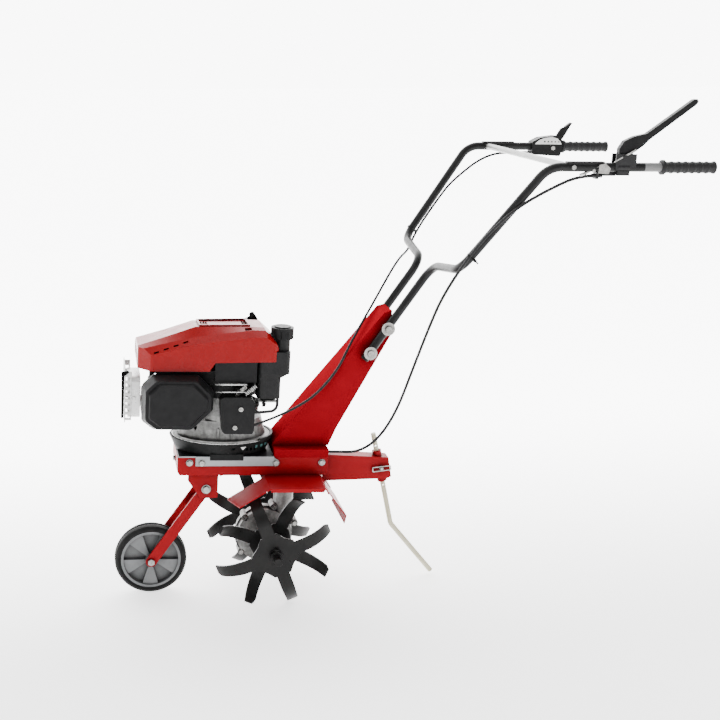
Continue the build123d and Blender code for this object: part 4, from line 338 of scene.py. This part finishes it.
def on_circle(centre, side, other, radius, turn):
    """Point on a circle in the plane of two directions."""
    return centre + side * (radius * math.cos(turn)) + other * (radius * math.sin(turn))


def ring_faces(first, second, count):
    """Faces between two rings of points, each ring named by the number of its first point."""
    steps = [(k, (k + 1) % count) for k in range(count)]
    return [(first + k, first + q, second + q, second + k) for k, q in steps]


def wire(name, points, radius, slot, sides=10, closed=False):
    """Round wire through points."""
    points = [Vector(point) for point in points]
    count = len(points)
    side = WIRE_START
    skin, faces = [], []
    for i, point in enumerate(points):
        before = points[i - 1] if closed or i else point
        after = points[(i + 1) % count] if closed or i < count - 1 else point
        along = (after - before).normalized()
        side = (side - along * side.dot(along)).normalized()
        other = along.cross(side)
        skin += [on_circle(point, side, other, radius, turn) for turn in turns(sides)]
    for i in range(count if closed else count - 1):
        faces += ring_faces(i * sides, ((i + 1) % count) * sides, sides)
    if not closed:
        faces.append(tuple(reversed(range(sides))))
        faces.append(tuple(range((count - 1) * sides, count * sides)))
    mesh(name, skin, faces, slot, smooth=True)


def plate(name, outline, push, slot, look=None, body="chassis"):
    """Flat plate: an outline of points pushed along a direction."""
    low = [Vector(point) for point in outline]
    high = [point + Vector(push) for point in low]
    count = len(low)
    faces = [tuple(reversed(range(count))), tuple(range(count, 2 * count))]
    mesh(name, low + high, faces + ring_faces(0, count, count), slot, look, body)


def side_plate(name, outline, y, thick, slot, look=None, body="chassis"):
    """Plate along the machine: its outline in x and z stands at y, its thickness runs along y."""
    plate(name, [(x, y, z) for x, z in outline], (0, thick, 0), slot, look, body)


def hexagon(name, centre, axis, radius, height):
    """Zinc nut or screw head."""
    axis = Vector(axis).normalized()
    side = axis.orthogonal().normalized()
    other = axis.cross(side)
    outline = [on_circle(Vector(centre), side, other, radius, turn) for turn in turns(6)]
    plate(name, outline, axis * height, "zinc")


# Control cables: sheath radii, and control points from the levers down to the frame and to the engine.
CLUTCH_R = 3.8
THROTTLE_R = 3.3
SHEATH_ROUND = 3
SPLINE_ORDER = 3
SPLINE_STEPS = 12
CLUTCH_ROUTE = [
    (715, -312, 1046.7), (663, -312, 1046), (590, -313, 1011), (515, -307, 963.3), (461, -290, 901),
    (420, -278, 840), (376, -263, 756), (354, -227, 669), (297, -57, 253), (105, -58, 259),
    (52, -48, 243), (-46, 34, 241)]
THROTTLE_ROUTE = [
    (783, 310, 1051.6), (735, 310, 1050.2), (640, 309, 1042), (545, 299, 966), (507, 285, 923),
    (435, 264, 818), (404, 214, 771), (347, 112, 763), (266, 42, 646), (203, -30, 571),
    (152, -58, 470), (58, -74, 382), (-69, -112, 350)]


def cable(name, node, route, radius):
    """Smooth control cable in place of the plain tube, as a spline with the route as its control points."""
    data = bpy.data.curves.new(name, "CURVE")
    data.dimensions = "3D"
    data.bevel_depth = radius / MM_PER_M
    data.bevel_resolution = SHEATH_ROUND
    data.use_fill_caps = True
    spline = data.splines.new("NURBS")
    spline.points.add(len(route) - 1)
    for control, point in zip(spline.points, route):
        control.co = (*to_row(*point), 1)
    spline.order_u = SPLINE_ORDER
    spline.use_endpoint_u = True
    spline.resolution_u = SPLINE_STEPS
    data.materials.append(MAT[slot_of[node]])
    made = piece(name, data, "chassis")
    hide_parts(node)


# Cable ties: ends of the far handlebar's rise, then strap, lock and tail.
RISE_FOOT = (404.3034, 258, 800.8803)
RISE_HEAD = (583.3034, 310, 1062.8803)
NEAR = -1
FAR = 1
STRAP_R = 11.6
STRAP_GAP = 0.6
STRAP_HALF = 2.5
STRAP_THICK = 1.3
STRAP_CORNERS = 4
TUBE_STEPS = 12
CABLE_STEPS = 6
LOCK_OUT = 13.5
LOCK_SHIFT = 5
LOCK_HALF_LONG = 4
LOCK_HALF_WIDE = 3.5
LOCK_HIGH = 5
TAIL_FOOT = 3
TAIL_END = 16
TAIL_LEAN = 6
TAIL_HALF = 2
TAIL_THICK = 1.2


def rise(share, side):
    """Point at a share of the rise of a handlebar, and the direction of its tube."""
    foot, head = [Vector((x, side * y, z)) for x, y, z in (RISE_FOOT, RISE_HEAD)]
    return foot + (head - foot) * share, (head - foot).normalized()


def half_turn(start, steps):
    """Angles of equal steps along a half circle."""
    return [start + math.pi * k / steps for k in range(steps + 1)]


def tie(name, share, side, offset, radius):
    """Strap round a handlebar and the cable beside it, with its lock and its tail."""
    centre, along = rise(share, side)
    toward = Vector(offset)
    toward = toward - along * toward.dot(along)
    reach = toward.length
    toward.normalize()
    across = along.cross(toward)
    tube_side, cable_side = half_turn(math.pi / 2, TUBE_STEPS), half_turn(-math.pi / 2, CABLE_STEPS)
    loop = [on_circle(centre, toward, across, STRAP_R, turn) for turn in tube_side]
    cable_centre = centre + toward * reach
    loop += [on_circle(cable_centre, toward, across, radius + STRAP_GAP, turn) for turn in cable_side]
    middle = centre + toward * (reach / 2)
    half = along * STRAP_HALF
    points, faces = [], []
    for i, inner in enumerate(loop):
        outer = inner + (inner - middle).normalized() * STRAP_THICK
        points += [inner - half, inner + half, outer + half, outer - half]
        following = (i + 1) % len(loop)
        faces += ring_faces(STRAP_CORNERS * following, STRAP_CORNERS * i, STRAP_CORNERS)
    mesh(name, points, faces, "black_plastic")

    lock = centre + across * LOCK_OUT + toward * LOCK_SHIFT
    long, wide = toward * LOCK_HALF_LONG, along * LOCK_HALF_WIDE
    corners = [lock - long - wide, lock + long - wide, lock + long + wide, lock - long + wide]
    plate(name + "_lock", corners, across * LOCK_HIGH, "black_plastic")

    foot, end = lock + across * TAIL_FOOT, lock + across * TAIL_END + toward * TAIL_LEAN
    half = along * TAIL_HALF
    plate(name + "_tail", [foot - half, foot + half, end + half, end - half], toward * TAIL_THICK,
          "black_plastic")


# Throttle scale on the far handlebar: outline in x and z, and slits that shift and rise step by step.
SCALE_OUTLINE = [
    (777, 1076), (784, 1084), (793, 1090), (808, 1095), (827, 1098), (844, 1094), (853, 1086), (858, 1078)]
SLIT_COUNT = 5
SLIT_X = 803
SLIT_STEP = 10.5
SLIT_LOW = 1082
SLIT_RISE = 0.3
SLIT_HIGH = 1086.5
SLIT_LONG = 6
SLIT_TOP_FROM = 1.5
SLIT_TOP_TO = 5


def throttle_scale():
    """White scale with dark slits beside the throttle lever, and the lever's screw."""
    side_plate("throttle_scale", SCALE_OUTLINE, y=291.6, thick=-1.2, slot="silver", look=WHITE)
    for k in range(SLIT_COUNT):
        x, low = SLIT_X + SLIT_STEP * k, SLIT_LOW + SLIT_RISE * k
        slit = [(x, low), (x + SLIT_LONG, low), (x + SLIT_TOP_TO, SLIT_HIGH), (x + SLIT_TOP_FROM, SLIT_HIGH)]
        side_plate("scale_slit_%d" % k, slit, y=290.4, thick=-0.5, slot="black_plastic")
    hexagon("throttle_screw", (833, 292, 1066.5), (0, -1, 0), radius=6.5, height=3.5)


# Clutch adjuster on the near handlebar, and the link of its lever, which swings with the lever.
ADJUSTER_AXIS = (0.87, 0, 0.5)
ADJUSTER_NUT_R = 7.5
ADJUSTER_PLATE = [(701, 1053), (727, 1052), (731, 1066), (716, 1077), (702, 1073)]
CLUTCH_LINK = [(739, 1079), (742, 1084), (790, 1113), (793, 1109)]


def clutch_adjuster():
    """Ferrule, screw, nuts and plate at the upper end of the clutch cable, and the lever's link."""
    wire("cable_ferrule", [(662, -312, 1045.5), (676, -312, 1051)], radius=4.2, slot="silver")
    wire("adjuster", [(672, -313, 1050), (696, -314, 1063)], radius=3.2, slot="zinc")
    hexagon("adjuster_nut", (690, -313.5, 1059), ADJUSTER_AXIS, ADJUSTER_NUT_R, height=6)
    hexagon("adjuster_lock_nut", (700, -314, 1065), ADJUSTER_AXIS, ADJUSTER_NUT_R, height=5)
    side_plate("adjuster_plate", ADJUSTER_PLATE, y=-326.2, thick=-1.2, slot="zinc")
    side_plate("clutch_link", CLUTCH_LINK, y=-322.5, thick=-1.6, slot="zinc", body="clutch_lever_body")


# Governor spring: foot, run along x and z, coil radius and its slant, points in all and in each turn.
SPRING_X = -96
SPRING_Y = -127
SPRING_Z = 440
SPRING_RUN_X = 27
SPRING_RUN_Z = 22
SPRING_R = 5.0
SPRING_SLANT_X = 0.5
SPRING_SLANT_Z = 0.86
SPRING_POINTS = 100
SPRING_PER_TURN = 14


def governor():
    """Governor rod, throttle rod, spring and nut on the near side of the engine."""
    wire("governor_rod", [(-177, -123, 463.6), (-93, -123, 464.2)], radius=2.4, slot="silver")
    wire("throttle_rod", [(-175, -127, 444.5), (-90, -127, 445)], radius=1.4, slot="silver")
    coil = []
    for k in range(SPRING_POINTS):
        share, turn = k / (SPRING_POINTS - 1), 2 * math.pi * k / SPRING_PER_TURN
        swing = SPRING_R * math.cos(turn)
        coil.append((SPRING_X + SPRING_RUN_X * share + SPRING_SLANT_X * swing,
                     SPRING_Y + SPRING_R * math.sin(turn),
                     SPRING_Z + SPRING_RUN_Z * share - SPRING_SLANT_Z * swing))
    wire("governor_spring", coil, radius=0.9, slot="silver", sides=6)
    hexagon("governor_nut", (-80, -125, 452), (0, -1, 0), radius=6, height=4)


def fuel_tap():
    """Fuel tap under the tank, with its small lever."""
    wire("fuel_tap", [(-44, -105, 421), (-43.5, -105, 400)], radius=4.6, slot="black_plastic")
    wire("tap_lever", [(-50, -111, 411), (-38, -111, 408)], radius=2.2, slot="black_plastic")


# Engine flange and riser: ovals round the engine's upright axis. A port has a place and a lean inward.
ENGINE_X = -141
LINING_POINTS = 48
LINING_RX = 110
LINING_RY = 70
LINING_LOW = 258
LINING_HIGH = 286
WHITE_TRIANGLE_OUTLINE = [(-98, -88.3, 280.5), (-82, -83.9, 280.5), (-90, -82.4, 270.5)]
PORTS = [(-52, -70.7, 4.1), (-37, -60.5, 4.6), (-25, -49.5, 5.7)]
PORT_HALF = 3
PORT_FRONT = -1.8
PORT_REAR = 2
PORT_LOW = 272
PORT_HIGH = 281
OUTWARD = (0, -1.2, 0)


def oval(x_radius, y_radius, z, count):
    """Points of an oval round the engine's upright axis."""
    return [(ENGINE_X + x_radius * math.cos(turn), y_radius * math.sin(turn), z) for turn in turns(count)]


def riser_details():
    """Bright rim of the engine flange, lining of the riser, and a white triangle and ports on its side."""
    flange = oval(x_radius=133.4, y_radius=97.4, z=291.6, count=96)
    wire("flange_rim", flange, radius=1.1, slot="silver", sides=8, closed=True)
    lining = []
    for z in (LINING_LOW, LINING_HIGH):
        lining += oval(LINING_RX, LINING_RY, z, LINING_POINTS)
    faces = ring_faces(0, LINING_POINTS, LINING_POINTS)
    mesh("riser_lining", lining, faces, "black_paint", TEAL, smooth=True)
    plate("riser_white_triangle", WHITE_TRIANGLE_OUTLINE, OUTWARD, "silver", WHITE)
    for k, (x, y, lean) in enumerate(PORTS):
        front, rear = x - PORT_HALF, x + PORT_HALF
        port = [(front, y + PORT_FRONT, PORT_HIGH), (rear, y + PORT_REAR, PORT_HIGH),
                (rear, y + lean + PORT_REAR, PORT_LOW), (front, y + lean + PORT_FRONT, PORT_LOW)]
        plate("riser_port_%d" % k, port, OUTWARD, "black_paint", TEAL)


# Painted shade: a dark plate at the front of the silencer guard, and dark plates behind the slots and under
# the square hole of the cowl.
GUARD_SHADE = [(-416, 356), (-409.5, 356), (-408, 470), (-396, 480), (-398, 485), (-416, 482)]
COWL_SLOT_SHADE = [(-350, 528), (-246, 554), (-246, 570), (-350, 545)]
SQUARE_HOLE_SHADE = [(-108, -98, 580), (-66, -98, 580), (-66, -56, 590), (-108, -56, 590)]


def shade_linings():
    """Dark plates that close the view into the silencer guard and the cowl, as painted shade."""
    side_plate("guard_front_shade", GUARD_SHADE, y=-71.5, thick=1.2, slot="black_paint", look=PAINTED_SHADE_BLACK)
    side_plate("cowl_slot_shade", COWL_SLOT_SHADE, y=-97, thick=1.5, slot="black_plastic")
    plate("square_hole_shade", SQUARE_HOLE_SHADE, push=(0, 0, -1.5), slot="black_plastic", look=PAINTED_SHADE_BLACK)


# Flat top of the cowl: front near corner, length, width, and heights of both edges at front and rear.
ROOF_X = -228
ROOF_Y = -76
ROOF_LONG = 151
ROOF_WIDE = 101
ROOF_NEAR = (606, 608)
ROOF_FAR = (600, 604)
TRIM_SUNK = 0.5
HOLE_SIDES = 6
HOLE_RX = 2.4
HOLE_RY = 4.0
HOLE_HIGH = 2.4
HOLE_STEP = 9.0
HOLE_ROWS = [(-200, 13, 12), (-190, -63, 11)]
HOLE_BLOCKS = [((-99, -92), (-46, -28, -10)), ((-209, -202, -195), (-50, -20))]
RIM_FRONT = -218
RIM_REAR = -84
RIM_NEAR = -72
RIM_FAR = 21
RIM_WALL = 4.5
RIM_HIGH = 4.6
RIM_CORNERS = 4


def roof(x, y):
    """Height of the flat top of the cowl."""
    along, across = (x - ROOF_X) / ROOF_LONG, (y - ROOF_Y) / ROOF_WIDE
    near, far = [front + (rear - front) * along for front, rear in (ROOF_NEAR, ROOF_FAR)]
    return near + (far - near) * across


def grille_hole_shade():
    """Small holes round the grille, as low studs in matte black that paint the shade in the holes: rows from
    a first x at one y, and blocks.
    """
    holes = [(x + HOLE_STEP * k, y) for x, y, count in HOLE_ROWS for k in range(count)]
    holes += [(x, y) for all_x, all_y in HOLE_BLOCKS for x in all_x for y in all_y]
    points, faces = [], []
    for x, y in holes:
        low = len(points)
        high = low + HOLE_SIDES
        for height in (-TRIM_SUNK, HOLE_HIGH):
            points += [(x + HOLE_RX * math.cos(turn), y + HOLE_RY * math.sin(turn), roof(x, y) + height)
                       for turn in turns(HOLE_SIDES)]
        faces.append(tuple(range(high, high + HOLE_SIDES)))
        faces += ring_faces(low, high, HOLE_SIDES)
    mesh("grille_hole_shade", points, faces, "black_plastic", PAINTED_SHADE_BLACK)


def grille_rim():
    """Raised rim round the grille."""
    points = []
    for inset in (0, RIM_WALL):
        front, rear, near, far = RIM_FRONT + inset, RIM_REAR - inset, RIM_NEAR + inset, RIM_FAR - inset
        for height in (-TRIM_SUNK, RIM_HIGH):
            points += [(x, y, roof(x, y) + height)
                       for x, y in ((front, near), (rear, near), (rear, far), (front, far))]
    outer_low, outer_high, inner_low, inner_high = [RIM_CORNERS * k for k in range(4)]
    walls = [(outer_low, outer_high), (inner_high, inner_low)]
    top_and_foot = [(outer_high, inner_high), (inner_low, outer_low)]
    faces = []
    for first, second in walls + top_and_foot:
        faces += ring_faces(first, second, RIM_CORNERS)
    mesh("grille_rim", points, faces, "red_plastic")


# Studio: the floor and the room brighten behind the machine. For the camera they brighten all round, so that
# other views see a white backdrop too, while the light on the machine stays the same.
WHITE_LIGHT = (1, 1, 1, 1)
FLOOR_HALF = 40.0
FLOOR_Z = -0.001
FLOOR_TONES = ((0.92, 0.92, 0.92), (0.95, 0.95, 0.95))
FLOOR_GRAIN = 0.6
FLOOR_ROUGHNESS = 0.9
FLOOR_SPEC = 0.1
FLOOR_GLOW = (1.0, 6.5)
FLOOR_BEHIND = (-0.5, 1.6)
FLOOR_AROUND = (1.5, 4.5)
ROOM_GLOW = (0.6, 9.0)
ROOM_BEHIND = (0.0, 0.75)


def floor_material():
    """Pale floor that glows more and more away from the machine, like a lit sweep; its dim glow near the
    machine is a painted soft shadow.
    """
    made = bpy.data.materials.new("pale_floor")
    made.use_nodes = True
    tree = made.node_tree
    grain = add(tree, "ShaderNodeTexNoise", {"Scale": FLOOR_GRAIN})
    place = tree.nodes.new("ShaderNodeNewGeometry").outputs["Position"]
    apart = add(tree, "ShaderNodeSeparateXYZ", {0: place})
    behind = ramp(tree, apart.outputs["Y"], *FLOOR_BEHIND, *FLOOR_GLOW)
    distance = tree.nodes.new("ShaderNodeVectorMath")
    distance.operation = "LENGTH"
    feed(tree, distance, {0: place})
    around = ramp(tree, distance.outputs["Value"], *FLOOR_AROUND, *FLOOR_GLOW)
    seen = tree.nodes.new("ShaderNodeLightPath").outputs["Is Camera Ray"]
    feed(tree, tree.nodes["Principled BSDF"], {
        "Base Color": two_tones(tree, grain.outputs["Fac"], FLOOR_TONES, (0, 1)),
        "Roughness": FLOOR_ROUGHNESS,
        "Specular IOR Level": FLOOR_SPEC,
        "Emission Color": WHITE_LIGHT,
        "Emission Strength": maths(tree, "MAXIMUM", behind, maths(tree, "MULTIPLY", around, seen)),
    })
    return made


def floor():
    """Wide floor just under the machine."""
    data = bpy.data.meshes.new("floor")
    signs = ((-1, -1), (1, -1), (1, 1), (-1, 1))
    data.from_pydata([(x * FLOOR_HALF, y * FLOOR_HALF, 0) for x, y in signs], [], [(0, 1, 2, 3)])
    data.materials.append(floor_material())
    made = bpy.data.objects.new("floor", data)
    made.location.z = FLOOR_Z
    bpy.context.scene.collection.objects.link(made)


def room():
    """White room round the machine."""
    world = bpy.data.worlds.new("studio")
    world.use_nodes = True
    tree = world.node_tree
    direction = tree.nodes.new("ShaderNodeTexCoord").outputs["Generated"]
    apart = add(tree, "ShaderNodeSeparateXYZ", {0: direction})
    behind = ramp(tree, apart.outputs["Y"], *ROOM_BEHIND, *ROOM_GLOW)
    seen = tree.nodes.new("ShaderNodeLightPath").outputs["Is Camera Ray"]
    glow = add(tree, "ShaderNodeMix", {MIX_SHARE: seen, MIX_VALUE_A: behind, MIX_VALUE_B: max(ROOM_GLOW)})
    feed(tree, tree.nodes["Background"], {"Color": WHITE_LIGHT, "Strength": glow.outputs[MIX_VALUE_OUT]})
    bpy.context.scene.world = world


def facing(direction):
    """Rotation of a lamp or a camera that looks along a direction."""
    return direction.to_track_quat("-Z", "Y").to_euler()


def area(name, place, aim, size, power):
    """Rectangular lamp that faces a point."""
    lamp = bpy.data.lights.new(name, "AREA")
    lamp.shape = "RECTANGLE"
    lamp.size, lamp.size_y = size
    lamp.energy = power
    made = bpy.data.objects.new(name, lamp)
    made.location = place
    made.rotation_euler = facing(Vector(aim) - Vector(place))
    bpy.context.scene.collection.objects.link(made)


# Camera of the photograph, as solved from points of the model.
CAMERA_LENS = 58.363
CAMERA_SENSOR = 36.0
CAMERA_CLIP = 100
CAMERA_SHIFT_X = 0.15263
CAMERA_SHIFT_Y = 0.03849
CAMERA_PLACE = (-0.76864, -3.01016, 1.47041)
CAMERA_LOOK = (0.12929392, 0.95103325, -0.28074695)


def camera():
    """Camera of the scene."""
    data = bpy.data.cameras.new("camera")
    data.lens = CAMERA_LENS
    data.sensor_width = CAMERA_SENSOR
    data.shift_x = CAMERA_SHIFT_X
    data.shift_y = CAMERA_SHIFT_Y
    data.clip_end = CAMERA_CLIP
    made = bpy.data.objects.new("camera", data)
    made.location = CAMERA_PLACE
    made.rotation_euler = facing(Vector(CAMERA_LOOK))
    bpy.context.scene.collection.objects.link(made)
    bpy.context.scene.camera = made


tie("near_tie", share=0.13, side=NEAR, offset=(-7.7, -11.7, 5.2), radius=CLUTCH_R)
tie("far_tie", share=0.10, side=FAR, offset=(12.4, 0, -8.4), radius=THROTTLE_R)
cable("clutch_sheath", "clutch_cable", CLUTCH_ROUTE, CLUTCH_R)
cable("throttle_sheath", "throttle_cable", THROTTLE_ROUTE, THROTTLE_R)
throttle_scale()
clutch_adjuster()
governor()
fuel_tap()
riser_details()
shade_linings()
grille_hole_shade()
grille_rim()

floor()
area("key", place=(-1.6, -2.6, 3.2), aim=(0, 0, 0.5), size=(2.2, 2.2), power=50)
area("fill", place=(2.6, -2.4, 1.6), aim=(0.1, 0, 0.6), size=(1.6, 2.4), power=15)
area("top", place=(0.2, 0.4, 3.6), aim=(0, 0, 0.4), size=(3.0, 3.0), power=40)
room()
camera()
